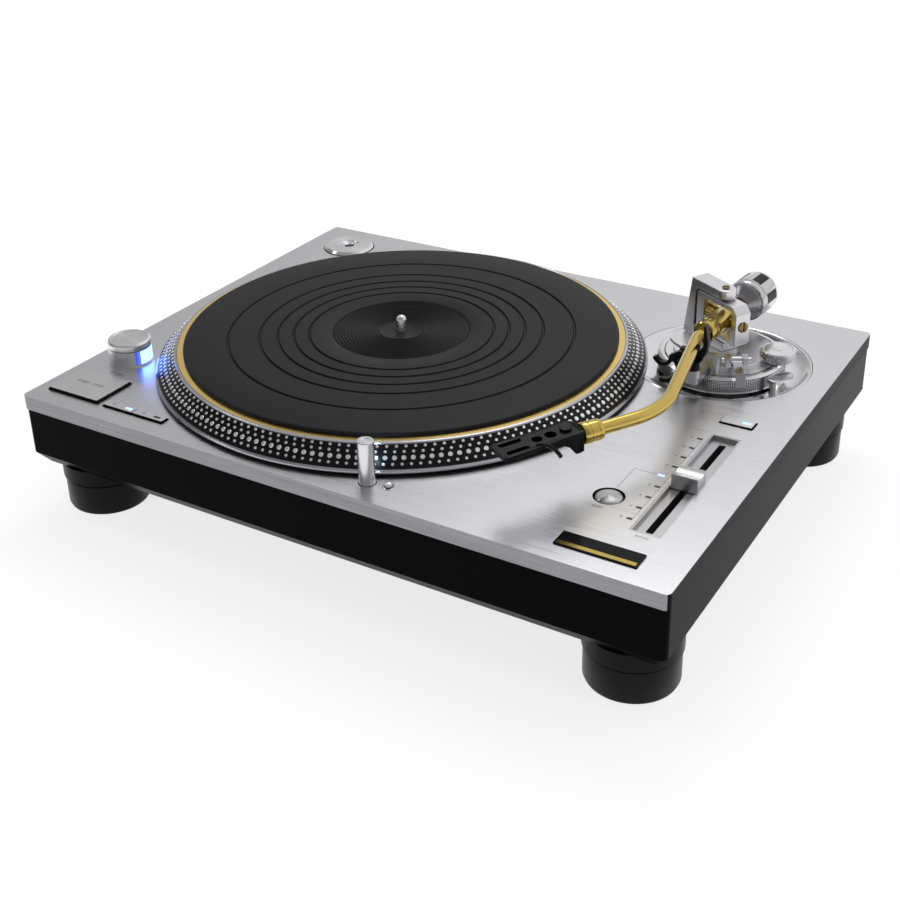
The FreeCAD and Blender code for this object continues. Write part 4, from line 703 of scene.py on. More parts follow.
class TURNTABLE_OT_platter(bpy.types.Operator):
    """Platter with its dotted rim, top ring, mat and spindle"""

    bl_idname = "turntable.platter"
    bl_label = "Platter"

    cone_inner: FloatProperty(name="Cone top", description="Radius where the dotted cone starts, in millimetres",
                              default=152.6)
    cone_outer: FloatProperty(name="Cone foot", description="Radius where the dotted cone ends, in millimetres",
                              default=164.6)

    def execute(self, context):
        settings = context.scene.turntable_platter
        where = (*SPINDLE, 0)
        radius, ring_radius = radius_of("platter"), radius_of("platter_top_ring")
        top, low = top_of("platter"), foot_of("platter")
        cone_top, cone_foot = top - 0.9, low + 2.2
        inner, outer = self.cone_inner, self.cone_outer
        rim = spun(
            [
                (ring_radius + 0.1, top - 3),
                (ring_radius + 0.1, top - 0.2),
                (ring_radius + 0.3, top),
                (inner - 0.6, top),
                (inner - 0.2, top - 0.2),
                (inner, cone_top),
                (inner + 0.15, cone_top - 0.15),
                (outer - 0.3, cone_foot + 0.25),
                (outer, cone_foot),
                (radius - 0.6, low + 1.5),
                (radius - 0.15, low + 1.2),
                (radius, low + 0.8),
                (radius, low + 0.2),
                (radius - 0.2, low),
                (ring_radius + 2, low),
                (ring_radius - 1, top - 6),
                (ring_radius - 1, top - 3),
            ],
            256,
        )
        put(rim, where)
        slope = (cone_top - cone_foot) / (outer - inner)
        paint(rim, 1, lambda c, n: inner + 0.1 < (c.xy - SPINDLE).length < outer - 0.1 and n.z > 0.3)
        silver = turned("Turned platter", "platter", (0.5, 0.5, 0.54), rough=(0.16, 0.3), bump=0.3)
        black = finish("Black dotted rim", (0.006, 0.006, 0.007), 0.0, (0.2, 0.3), scale=1500, bump=0.06, depth=0.02,
                       Specular_IOR_Level=0.2)
        piece(rim, "Platter_rim", "turning_platter", [silver, black], ["platter"])
        rows = (
            (153.9, settings.inner_dots, settings.small_dot),
            (156.4, settings.second_dots, settings.small_dot),
            (159.2, settings.large_dots, settings.large_dot),
            (162.2, settings.outer_dots, settings.small_dot),
        )
        tilt = Matrix.Rotation(math.atan(slope), 4, "Y")
        dot_depth, proud = 0.4, 0.12
        groups = []
        for reach, count, size in rows:
            dot = bmesh.new()
            bmesh.ops.create_cone(dot, cap_ends=True, cap_tris=False, segments=12, radius1=size, radius2=size * 0.8,
                                  depth=dot_depth * MM)
            height = cone_top - slope * (reach - inner)
            put(dot, (reach, 0, height + proud), tilt=tilt)
            groups.append(copies(dot, count))
        dots = put(join(*groups), where)
        polished = finish("Polished dots", (0.95, 0.95, 0.96), 1.0, (0.25, 0.36), bump=0.05, depth=0.01)
        piece(dots, "Rim_dots", "turning_platter", polished)
        self.ring_and_mat(where, ring_radius)
        self.spindle(where)
        dress(finish("Magnet", (0.09, 0.09, 0.09), 0.4, (0.4, 0.6)), "rotor_magnet")
        dress(black_plastic(), "motor_housing")
        dress(turned("Turned bearing", "bearing_sleeve", (0.7, 0.5, 0.22)), "bearing_sleeve")
        dress(finish("Copper windings", (0.55, 0.22, 0.08), 0.9, (0.25, 0.4), "Rings", scale=2500, bump=0.5,
                     centre=middle("stator")), "stator")
        return {"FINISHED"}

    def ring_and_mat(self, where, ring_radius):
        """The brass ring and the ringed mat."""
        ring_top, ring_hole = top_of("platter_top_ring"), 30
        ring_low = ring_top - 2.9
        ring = spun([(ring_hole, ring_low), (ring_radius, ring_low), (ring_radius, ring_top - 0.25),
                     (ring_radius - 0.25, ring_top), (ring_hole, ring_top)], 256)
        put(ring, where)
        brass = turned("Turned brass", "platter_top_ring", colours().brass_colour, (0.16, 0.3), 0.35)
        piece(ring, "Top_ring", "turning_platter", brass, ["platter_top_ring"])
        top, low = top_of("rubber_mat"), foot_of("rubber_mat")
        radius, hole, first_rib, last_rib, rib_spacing = radius_of("rubber_mat"), 4, 15.0, 45, 2.3
        label_floor, rib_top = top - 0.95, top - 0.35
        profile = [(hole, low), (hole, top - 1.0)]
        rib = first_rib
        while rib < last_rib:
            profile += [(rib, label_floor), (rib + 0.5, rib_top), (rib + 0.8, rib_top), (rib + 1.3, label_floor)]
            rib += rib_spacing
        profile += [(46.4, label_floor), (46.8, top - 0.3), (47.3, top)]
        groove_floor = top - 1.1
        for groove in (62.5, 72.8, 83.5, 95.8, 116.8):
            profile += [(groove - 1.1, top), (groove - 0.5, groove_floor), (groove + 0.5, groove_floor),
                        (groove + 1.1, top)]
        profile += [(radius - 1.6, top), (radius - 0.5, top - 0.3), (radius, top - 1), (radius, low + 0.4),
                    (radius - 0.4, low)]
        mat = put(spun(profile, 200), where)
        rubber = finish("Mat rubber", colours().mat_colour, 0.0, (0.42, 0.55), scale=1400, bump=0.12, depth=0.04,
                        Specular_IOR_Level=0.17)
        piece(mat, "Mat", "turning_platter", rubber, ["rubber_mat"], sharp=50)

    def spindle(self, where):
        """The spindle with its rounded tip, and the hub under the platter."""
        top, foot, radius = top_of("spindle"), foot_of("spindle"), 3.6
        hub_radius, hub_low, hub_high = 20, 84.6, 90
        tip = spun([(0, top), (1.1, top - 0.12), (2.2, top - 0.6), (3.0, top - 1.5), (radius, top - 3),
                    (radius, foot + 0.5), (3, foot), (0, foot)], 48)
        hub = spun([(radius, hub_low), (hub_radius, hub_low), (hub_radius, hub_high), (radius, hub_high)], 64)
        steel = turned("Turned spindle", "spindle", (0.8, 0.8, 0.81), (0.08, 0.2), 0.15)
        piece(put(join(tip, hub), where), "Spindle", "turning_platter", steel, ["spindle"])


class TURNTABLE_OT_power_switch(bpy.types.Operator):
    """Power switch with its lit window"""

    bl_idname = "turntable.power_switch"
    bl_label = "Power switch"

    def execute(self, context):
        knob = middle("power_knob")
        chrome = turned("Switch chrome", "power_knob", (0.86, 0.86, 0.88), (0.22, 0.34), 0.8)
        dress(chrome, "pod_housing")
        dress(lit("Window light", (0.13, 0.26, 1.0), 6), "strobe_lens")
        self.window_side(knob)
        cap_foot, shaft_radius = 95.6, 3.5
        radius, top, shaft_foot = radius_of("power_knob"), top_of("power_knob"), foot_of("power_knob")
        cap = spun(
            [
                (0, top - 0.5),
                (radius - 2.6, top - 0.35),
                (radius - 2.3, top - 0.05),
                (radius - 1.5, top),
                (radius - 1.0, top - 0.12),
                (radius - 0.1, top - 1.1),
                (radius, top - 1.4),
                (radius, cap_foot + 0.4),
                (radius - 0.3, cap_foot),
                (shaft_radius, cap_foot),
                (shaft_radius, shaft_foot),
                (0, shaft_foot),
            ]
        )
        put(cap, (knob.x, knob.y, 0))
        paint(cap, 1, lambda c, n: n.z > 0.9 and c.z > cap_foot + 2)
        spun_top = turned("Spun knob top", "power_knob", rough=(0.14, 0.26), bump=1.0)
        piece(cap, "Power_knob", "power_switch", [chrome, spun_top], ["power_knob"])
        mark(words("ON   OFF", 2.6, knob.x + 6, knob.y - 21), "Power_marks")
        return {"FINISHED"}

    def window_side(self, knob):
        """Painted glow: strips on the chrome past the window's left end, each lit less than the last, stand in for
        the window's light spread over the chrome.
        """
        low, high = foot_of("strobe_lens"), top_of("strobe_lens")
        outside, inside, window_end, width = 14.64, 14.3, -20, 4.5
        # Painted light: these glowing strips are chrome, not lamp, lit to show the window's light on it.
        strips, looks = [], []
        for number, strength in enumerate((1.5, 0.9, 0.45)):
            start = window_end - width * number
            stop = start - width
            strip = slab([[*arc(0, 0, outside, start, stop, 4), *arc(0, 0, inside, stop, start, 4)]], low, high, 0)
            strips.append(paint(strip, number))
            looks.append(lit("Painted window glow %d" % (number + 1), (0.09, 0.16, 1.0), strength))
        piece(put(join(*strips), (knob.x, knob.y, 0)), "Painted_window_glow", "base", looks)


class TURNTABLE_OT_keys(bpy.types.Operator):
    """Start and stop key, speed keys, pitch range key and reset button"""

    bl_idname = "turntable.keys"
    bl_label = "Keys"

    def execute(self, context):
        metal = lined("Key aluminium", (0.76, 0.76, 0.78), (0.26, 0.38), 0.2, 0.15)
        spots = (("start_stop_button", "start_key"), ("speed_button_33", "speed_33_key"),
                 ("speed_button_45", "speed_45_key"), ("pitch_range_button", "range_key"))
        for node, body in spots:
            low, high = corners(node)
            cap = slab([round_box(low, high, 0.7, steps=4)], low.z, high.z)
            # Painted shade: the keys' upright sides are painted black for the shadow gap round them.
            paint(cap, 1, lambda c, n: abs(n.z) < 0.5)
            piece(cap, node.title(), body, [metal, black_plastic()], [node], even=True)
        for node, body, text, size, shift, name in (
                ("start_stop_button", "start_key", "START - STOP", 3.6, 0, "Start_marks"),
                ("speed_button_33", "speed_33_key", "33", 2.4, -5, "Speed_marks_33"),
                ("speed_button_45", "speed_45_key", "45", 2.4, -5, "Speed_marks_45")):
            spot = middle(node)
            mark(words(text, size, spot.x + shift, spot.y + 0.5, top_of(node)), name, body)
        glow = indicator()
        dark = finish("Dark window", (0.02, 0.02, 0.03), 0.0, (0.1, 0.2), scale=900)
        for node, body, shift, look in (("speed_button_33", "speed_33_key", 7.5, glow),
                                        ("speed_button_45", "speed_45_key", 6, dark),
                                        ("pitch_range_button", "range_key", 5.5, glow)):
            spot, top = middle(node), top_of(node)
            x, half_length = spot.x + shift, 2.6
            light = slab([rounded(x - half_length, x + half_length, spot.y - 1, spot.y + 1, 0.3, 3)],
                         top - 0.2, top + 0.06, 0)
            piece(light, node.title() + "_light", body, look)
        spot = middle("reset_button")
        self.reset(spot)
        self.reset_light(spot)
        return {"FINISHED"}

    def reset(self, spot):
        """The domed button in its round recess, and its word."""
        top, low = top_of("reset_button"), foot_of("reset_button")
        button = spun([(0, top), (1.5, top - 0.05), (4, top - 0.35), (6.3, top - 0.9), (7.4, top - 1.5),
                       (8.1, top - 2.5), (8.2, top - 3.2), (8.2, low), (0, low)], 72)
        put(button, (spot.x, spot.y, 0))
        metal = turned("Spun reset", "reset_button", (0.6, 0.6, 0.62), (0.3, 0.4), 0.5)
        piece(button, "Reset_button", "reset_key", metal, ["reset_button"])
        mark(words("RESET", 2.6, spot.x - 1, spot.y - 13), "Reset_marks")

    def reset_light(self, spot):
        """The printed line from the button to the indicator at the slider's middle, and the indicator."""
        line_y, half_line = middle("pitch_fader_body").y, 0.12
        mark(join(printed(spot.x - half_line, spot.x + half_line, spot.y + 11, line_y),
                  printed(spot.x - half_line, spot.x + 14, line_y - half_line, line_y + half_line)), "Reset_line")
        lamp = slab([rounded(spot.x + 14.5, spot.x + 18.5, line_y - 0.8, line_y + 0.8, 0.2, 2)], DECK - 0.1,
                    DECK + 0.05, 0)
        piece(lamp, "Reset_light", "base", indicator())


class TURNTABLE_OT_pitch_slider(bpy.types.Operator):
    """Sunk tray, sliding knob and printed scale"""

    bl_idname = "turntable.pitch_slider"
    bl_label = "Pitch slider"

    def execute(self, context):
        low, high = corners("pitch_fader_body")
        centre = (low + high) / 2
        floor, wall, half_slot, slot_reach = high.z, 1.2, 2.15, 54.5
        slot = rounded(centre.x - half_slot, centre.x + half_slot, centre.y - slot_reach, centre.y + slot_reach, 1)
        tray = slab([round_box(low, high, 0.6), slot], low.z, floor, 0.1)
        walls = slab([round_box(low, high, 0.6), round_box(low, high, 0.3, -wall)], floor, DECK - 0.2, 0.12)
        metal = lined("Tray aluminium", (0.58, 0.58, 0.60), (0.26, 0.38), 0.25, 0.2, ALONG_Y)
        piece(join(tray, walls), "Slider_tray", "base", metal, ["pitch_fader_body"], even=True)
        dark = slab([rounded(centre.x - 3, centre.x + 3, centre.y - 55, centre.y + 55, 1)], low.z, low.z + 2, 0)
        piece(dark, "Slider_slot", "base", black_plastic())
        self.knob()
        self.scale(centre)
        return {"FINISHED"}

    def knob(self):
        """The knob: a block with a hollowed top."""
        low, high = corners("pitch_fader_knob")
        centre = (low + high) / 2
        half_length, half_width = (high.y - low.y) / 2, (high.x - low.x) / 2
        bottom, shoulder = 81.4, high.z - 0.4
        hollow_radius, hollow_centre = 9.2, high.z + 7.2
        side = [(-half_length, bottom), (half_length, bottom), (half_length, shoulder),
                *arc(0, hollow_centre, hollow_radius, 308, 232, 14), (-half_length, shoulder)]
        block = slab([side], -half_width, half_width, 0.35)
        put(block, (centre.x, centre.y, 0), math.radians(90), UPRIGHT)
        stem = slab([rounded(centre.x - 1.8, centre.x + 1.8, centre.y - 2, centre.y + 2, 0.2)], low.z, bottom + 1, 0)
        chrome = lined("Slider chrome", (0.80, 0.80, 0.82), (0.3, 0.4), 0.2, 0.15)
        piece(join(block, stem), "Slider_knob", "fader", chrome, ["pitch_fader_knob"], even=True)

    def scale(self, centre):
        """The printed ticks, numbers, line and word beside the tray."""
        steps, spacing = 4, 12.6
        numbers_x, tick_left, scale_right = 174.6, 177.8, 181.2
        parts = []
        for step in (*range(-steps, 0), *range(1, steps + 1)):
            y = centre.y + spacing * step
            parts.append(printed(tick_left, scale_right, y - 1, y + 1, radius=0.1))
            parts.append(words(str(abs(2 * step)), 2.6, numbers_x, y))
        reach = steps * spacing
        parts.append(printed(scale_right - 0.2, scale_right, centre.y - reach, centre.y + reach))
        parts.append(words("PITCH", 2.8, centre.x, centre.y - 64.5))
        mark(join(*parts), "Slider_scale")


class TURNTABLE_OT_light(bpy.types.Operator):
    """Pop-up light and its release button"""

    bl_idname = "turntable.light"
    bl_label = "Pop-up light"

    def execute(self, context):
        spot, top, low = middle("target_light"), top_of("target_light"), foot_of("target_light")
        place = (spot.x, spot.y, 0)
        radius, rim_top, seat_low = 5, top - 0.25, DECK - 1.6
        post = spun([(0, rim_top), (2.6, rim_top), (2.8, top), (4.6, top), (radius, top - 0.4), (radius, low),
                     (0, low)], 56)
        metal = turned("Turned light post", "target_light", rough=(0.12, 0.24), bump=1.2)
        piece(put(post, place), "Light_post", "pop_up_light", metal, ["target_light"])
        lens_low, lens_high, right_end, left_end = top - 6, top - 2.8, 62, 118
        lens = slab([[*arc(0, 0, radius + 0.08, right_end, left_end, 10), *arc(0, 0, 4.7, left_end, right_end, 10)]],
                    lens_low, lens_high, 0)
        piece(put(lens, place), "Light_lens", "pop_up_light", lit("Post light", (0.5, 0.7, 1.0), 50))
        ring = spun([(5.2, DECK - 1.2), (6.3, DECK - 0.2), (6.3, seat_low), (5.2, seat_low)], 56)
        piece(put(ring, place), "Light_seat", "base", metal)
        self.release_button()
        return {"FINISHED"}

    def release_button(self):
        """The small round button beside the post, in its dish."""
        key, high, foot, radius = middle("target_release_button"), top_of("target_release_button"), 75.5, 2.4
        place = (key.x, key.y, 0)
        button = spun([(0, high), (1.4, high - 0.1), (2.1, high - 0.5), (radius, high - 1.2), (radius, foot),
                       (0, foot)], 40)
        piece(put(button, place), "Release_button", "release_key", bright_silver(),
              ["target_release_button"])
        lip, dish_low = DECK + 0.05, DECK - 2.2
        dish = spun([(2.8, DECK - 1.6), (4.6, lip), (5.0, lip), (5.0, DECK - 0.2), (3.2, dish_low),
                     (2.8, dish_low)], 48)
        piece(put(dish, place), "Release_dish", "base", bright_silver())


class TURNTABLE_OT_trim(bpy.types.Operator):
    """Bare badge plate and the record adaptor"""

    bl_idname = "turntable.trim"
    bl_label = "Trim"

    def execute(self, context):
        low, high = corners("badge_plate")
        plate = slab([round_box(low, high, 0.4)], low.z, high.z, 0.15)
        black = finish("Badge black", (0.008, 0.008, 0.009), 0.0, (0.12, 0.2), scale=900, bump=0.03,
                       Specular_IOR_Level=0.1)
        piece(plate, "Badge", "base", black, ["badge_plate"], even=True)
        band = slab([rounded(low.x + 1.2, high.x - 1.2, low.y + 1, low.y + 4, 0.1, 1)], high.z - 0.05, high.z + 0.04,
                    0)
        piece(band, "Badge_band", "base", gold())
        spot, top, foot = middle("single_adaptor"), top_of("single_adaptor"), foot_of("single_adaptor")
        radius = radius_of("single_adaptor")
        adaptor = spun([(3.7, foot), (radius - 0.8, foot), (radius, foot + 0.8), (radius, top - 1.8),
                        (radius - 1.8, top), (8.5, top), (8, top - 0.5), (4.8, top - 0.5), (3.7, top - 1.2)])
        put(adaptor, (spot.x, spot.y, 0))
        metal = turned("Turned adaptor", "single_adaptor", rough=(0.14, 0.3), bump=0.55)
        piece(adaptor, "Adaptor", "adaptor", metal, ["single_adaptor"])
        return {"FINISHED"}


class TURNTABLE_OT_arm_base(bpy.types.Operator):
    """Dished well, knurled height dial and the deck of the arm"""

    bl_idname = "turntable.arm_base"
    bl_label = "Arm base"

    def execute(self, context):
        where = (*PIVOT, 0)
        floor = DECK - 6
        low, hole, radius = DECK - PLATE_THICKNESS, 27, 59.4
        well = spun([(hole, low), (radius, low), (radius, DECK - 0.3), (radius - 0.3, DECK), (58.2, DECK),
                     (57.4, DECK - 0.5), (55.6, DECK - 2.2), (52.5, floor + 1.2), (48.8, floor + 0.35),
                     (45, floor), (hole, floor)], 192)
        put(well, where)
        dish = turned("Turned well", "arm_well", rough=(0.08, 0.16), bump=0.25)
        piece(well, "Arm_well", "base", dish, ["arm_well"], sharp=40)
        self.dial(where)
        dress(satin_silver(), "arm_base", "arm_deck", "cue_bracket")
        dress(bright_silver(), "height_lock_lever")
        return {"FINISHED"}

    def dial(self, where):
        """The height dial with its knurled side, a grid of faces that each stand out on sloping flanks; the flanks
        are painted dark as shade.
        """
        top, low, radius = top_of("height_dial"), foot_of("height_dial"), 42.0
        hole, inner_wall, inner_floor = 30.2, 37.5, 83.2
        rows, columns, knurl = 8, 200, 0.3
        knurl_low, knurl_high = low + 1.6, top - 1.8
        side = [(radius - 0.35, knurl_low + (knurl_high - knurl_low) * n / rows) for n in range(rows + 1)]
        dial = spun([(hole, low), (radius - 1, low), (radius - 0.3, low + 0.7), (radius - 0.3, low + 1.3), *side,
                     (radius - 0.2, knurl_high + 0.3), (radius - 1.8, top), (inner_wall + 0.5, top),
                     (inner_wall, top - 0.4), (inner_wall, inner_floor), (hole, inner_floor)], columns)
        grid = []
        for face in dial.faces:
            spot = face.calc_center_median() / MM
            if knurl_low < spot.z < knurl_high and spot.xy.length > radius - 1:
                grid.append(face)
        flanks = bmesh.ops.inset_individual(dial, faces=grid, thickness=knurl * MM, depth=knurl * MM)["faces"]
        # Painted shade: the knurl's flanks take a dark finish, and the faces on them a satin one.
        for look, faces in ((1, grid), (2, flanks)):
            for face in faces:
                face.material_index = look
        put(dial, where)
        metal = finish("Dial chrome", colours().bright_colour, 1.0, (0.12, 0.22), "Rings", scale=3000, bump=0.15,
                       depth=0.01, centre=where)
        shade = finish("Knurl painted shade", (0.10, 0.10, 0.11), 1.0, (0.26, 0.34), scale=6000, bump=0.12, depth=0.01)
        piece(dial, "Height_dial", "height_ring", [metal, satin_silver(), shade],
              ["height_dial"], sharp=28)


class TURNTABLE_OT_antiskate(bpy.types.Operator):
    """Two-tier anti-skate dial"""

    bl_idname = "turntable.antiskate"
    bl_label = "Anti-skate dial"

    def execute(self, context):
        spot, top, low = middle("antiskate_dial"), top_of("antiskate_dial"), foot_of("antiskate_dial")
        step, radius, dish = low + 2.7, 11.5, top - 0.25
        dial = spun([(0, top), (3, top), (3.2, dish), (9.4, dish), (9.8, top), (10.8, top - 0.05),
                     (radius, top - 0.6), (radius, step + 0.3), (11, step), (11, step - 0.35), (radius, step - 0.6),
                     (radius, low + 0.2), (11.3, low), (0, low)])
        put(dial, (spot.x, spot.y, 0))
        metal = turned("Turned dial", "antiskate_dial", rough=(0.1, 0.2), bump=0.3)
        piece(dial, "Antiskate_dial", "antiskate", metal, ["antiskate_dial"])
        return {"FINISHED"}


class TURNTABLE_OT_cueing(bpy.types.Operator):
    """Cue lever and lifter bar"""

    bl_idname = "turntable.cueing"
    bl_label = "Cueing"

    def execute(self, context):
        dress(bright_silver(), "cue_lever")
        dress(satin_silver(), "cue_lifter")
        return {"FINISHED"}


class TURNTABLE_OT_arm_rest(bpy.types.Operator):
    """Arm rest and its hinged clamp"""

    bl_idname = "turntable.arm_rest"
    bl_label = "Arm rest"

    def execute(self, context):
        dress(black_plastic(), "arm_rest", "arm_clamp")
        return {"FINISHED"}


class TURNTABLE_OT_gimbal(bpy.types.Operator):
    """Yoke, gimbal ring and their pivot screws"""

    bl_idname = "turntable.gimbal"
    bl_label = "Gimbal"

    def execute(self, context):
        top, low, high = top_of("gimbal_yoke"), foot_of("gimbal_ring"), top_of("gimbal_ring")
        self.yoke(top, low - 0.6)
        right, left, edge = 19, -21.5, 0.7
        outer = [(left + 2, low), (right - 2.2, low), (right, low + 2.2), (right, high - 4.8), (14.2, high),
                 (left + 2.2, high), (left, high - 2.2), (left, low + 2)]
        window = rounded(-14, 14, ARM_HEIGHT - 10, ARM_HEIGHT + 10, 2.2)
        ring = put(slab([outer, window], -6, 6, edge), (*PIVOT, 0), GIMBAL_TURN, UPRIGHT)
        piece(ring, "Gimbal_ring", "gimbal", satin_silver(), ["gimbal_ring"], even=True)
        self.screws(top, low, high)
        return {"FINISHED"}

    def yoke(self, top, seat):
        """The bracket that holds the ring from above and below, with a round nose at its upper bar's end."""
        bar, foot, half_depth, nose_radius = top - 6, YOKE_FOOT, 6.5, 6
        outline = [(-34, foot), (8, foot), (8, seat), *arc(-19.5, seat + 3.5, 3.5, 270, 180, 6), (-23, bar - 2.5),
                   (-20.5, bar), (6.5, bar), (6.5, top), (-27, top)]
        yoke = put(slab([outline], -half_depth, half_depth, 0), tilt=UPRIGHT)
        nose = [e for e in yoke.edges if all(v.co.x > 6 * MM and v.co.z > (bar - 1) * MM for v in e.verts)
                and abs(e.verts[0].co.y - e.verts[1].co.y) < 1e-6]
        bmesh.ops.bevel(yoke, geom=nose, offset=nose_radius * MM, offset_type="OFFSET", affect="EDGES", segments=8,
                        profile=0.5, material=-1)
        soften(yoke, 0.7)
        put(yoke, (*PIVOT, 0), GIMBAL_TURN)
        piece(yoke, "Yoke", "deck", satin_silver(), ["gimbal_yoke"], even=True)

    def screws(self, top, low, high):
        """The slotted pivot screws, two upright and two level."""
        dark_gold = finish("Screw brass", (0.26, 0.19, 0.08), 1.0, (0.2, 0.32), scale=3000, bump=0.1, depth=0.01)
        radius, depth, slot_turn = 2, 2.5, math.radians(35)
        upper = join(slotted(2.5, top - 0.2, top + 0.9), rod(radius, high - depth, top, 32))
        lower = rod(radius, YOKE_FOOT, low + depth, 32)
        screws = put(join(upper, lower), (*PIVOT, 0), slot_turn)
        piece(screws, "Upright_screws", "deck", dark_gold, ["upright_pivot_screws"])
        sides = []
        for reach, turn in ((19, GIMBAL_TURN), (21.5, GIMBAL_TURN + math.pi)):
            side = join(slotted(3.6, reach - 0.2, reach + 0.85), rod(1.5, 10, reach, 32))
            sides.append(put(side, (*PIVOT, ARM_HEIGHT), turn, LYING))
        piece(join(*sides), "Cross_screws", "gimbal", dark_gold, ["cross_pivot_screws"])


class TURNTABLE_OT_arm(bpy.types.Operator):
    """Barrel, bent tube, locking collar, headshell and finger lift"""

    bl_idname = "turntable.arm"
    bl_label = "Arm"

    def execute(self, context):
        where = (*PIVOT, ARM_HEIGHT)
        radius, back, front = 7.5, -46, 30
        barrel = spun([(0, back), (4.4, back), (4.4, -12), (7, -8.4), (radius, -7.6), (radius, 22), (7.2, 22.3),
                       (7.2, 23), (radius, 23.3), (radius, front - 0.8), (6.8, front), (4.2, front), (0, front)], 64)
        put(barrel, where, BARREL_TURN, LYING)
        cross = put(rod(5, -13.7, 13.7, 40), where, GIMBAL_TURN, LYING)
        piece(join(barrel, cross), "Barrel", "arm", gold(), ["pivot_barrel"])
        tube = swept(self.route(), 4.1, 32)
        piece(tube, "Arm_tube", "arm", gold(), ["arm_tube"])
        spot = middle("locking_collar")
        collar = spun([(4.2, -6.5), (5.3, -6.5), (6.0, -6), (6.3, -5.4), (6.3, -3.4), (6.0, -3.2), (6.0, -2.8),
                       (6.4, -2.6), (6.4, 1.8), (6.1, 2.0), (6.1, 2.5), (6.5, 2.7), (6.5, 5.6), (6.1, 6.4),
                       (4.7, 6.5)], 64)
        put(collar, spot, SHELL_TURN, LYING)
        piece(collar, "Locking_collar", "collar", gold(), ["locking_collar"])
        self.headshell(spot)
        return {"FINISHED"}

    def route(self):
        """Points along the tube's centre line: straight runs, each but the last with a round bend at its end."""
        heading = BARREL_TURN
        place = Vector((*PIVOT, ARM_HEIGHT))
        runs = ((38.2, math.radians(16.5), 30), (102.7, math.radians(-42.5), 58), (46.8, 0, 0))
        in_barrel = 22.3
        points = [place + in_barrel * Vector((math.cos(heading), math.sin(heading), 0))]
        for reach, turn, radius in runs:
            ahead = Vector((math.cos(heading), math.sin(heading), 0))
            corner = place + reach * ahead
            if not turn:
                points.append(corner)
                break
            trim = radius * math.tan(abs(turn) / 2)
            side = math.copysign(1, turn)
            start = corner - trim * ahead
            hub = start + radius * side * Vector((-ahead.y, ahead.x, 0))
            steps = 14
            for n in range(steps + 1):
                spoke = (start - hub).to_2d()
                spoke.rotate(Matrix.Rotation(turn * n / steps, 2))
                points.append(hub + spoke.to_3d())
            heading += turn
            place = corner
        return points

    def headshell(self, spot):
        """The black shell with its slots, holes, deep rear flange and finger lift, higher towards the collar;
        painted shade darkens its slot and hole walls and a sheet under them.
        """
        outline = [(8.5, -5.8), (14, -6.8), (30, -8), (57, -8.6), (60, -6.8), (60, 6.8), (57, 8.6), (30, 8),
                   (14, 6.8), (8.5, 5.8)]
        slots = [rounded(42.5, 56.5, y - 2.2, y + 2.2, 2.1, 5) for y in (-4.9, 4.9)]
        holes = [disc(35, 0, 3.1, 28), disc(26.2, 0, 3.4, 28)]
        plate = slab([outline, *slots, *holes], -0.6, 2, 0.3)
        # Painted shade: a near black sheet under the slots and holes, and their walls painted near black.
        under = paint(slab([rounded(20, 58, -6.4, 6.4, 1)], -1.6, -1, 0), 1)
        paint(plate, 1, lambda c, n: abs(n.z) < 0.5 and abs(c.y) < 7.2 and 20 < c.x < 57)
        top, flange_low, flange_x, screw_x = 2.0, -11, 10, 16.5
        side = [(flange_x, top), (60, top), (60, -0.6), (56, -1.8), (38, -1.8), (37, -0.9), (30, -0.9), (23, -2.6),
                (18, -5.6), (14.5, -10.2), (13.6, flange_low), (flange_x, flange_low)]
        walls = [put(slab([side], -0.7, 0.7, 0.25), (0, y, 0), tilt=UPRIGHT) for y in (-6.9, 6.9)]
        flange = put(slab([rounded(-7.6, 7.6, flange_low, top, 1)], -1.2, 1.2), (flange_x, 0, 0),
                     tilt=LYING @ Matrix.Rotation(math.radians(90), 4, "Z"))
        tooth_tip, tooth_root, points = 3.5, 2.9, 36
        tips, roots = disc(0, 0, tooth_tip, points), disc(0, 0, tooth_root, points)
        teeth = [tips[n] if n % 2 else roots[n] for n in range(points)]
        screw = put(slab([teeth], top, top + 1.4, 0), (screw_x, 0, 0))
        shell = join(plate, under, *walls, flange, screw)
        slope, rise = -0.044, 4.6
        lean = Matrix(((1, 0, 0, 0), (0, 1, 0, 0), (slope, 0, 1, rise * MM), (0, 0, 0, 1)))
        bmesh.ops.transform(shell, matrix=lean, verts=shell.verts)
        neck = put(rod(4.55, -3.1, 9.4, 40), tilt=LYING)
        black = finish("Headshell black", (0.007, 0.007, 0.009), 0.0, (0.2, 0.3), scale=4000, bump=0.1, depth=0.01,
                       Specular_IOR_Level=0.2)
        deep = finish("Slot painted shade", (0.002, 0.002, 0.002), 0.0, (0.6, 0.7), scale=2000, Specular_IOR_Level=0.05)
        piece(put(join(shell, neck), spot, SHELL_TURN), "Headshell", "arm", [black, deep],
              ["headshell"], even=True)
        bent = [(38.5, 5.5, 4.6), (35.5, 7.2, 5.2), (33, 9.2, 4.8), (30.8, 12, 3.2), (29.4, 14.2, 1),
                (28.7, 15.4, -0.8)]
        lift = put(swept(bent, 1.2, 12), spot, SHELL_TURN)
        piece(lift, "Finger_lift", "arm", black, ["finger_lift"])


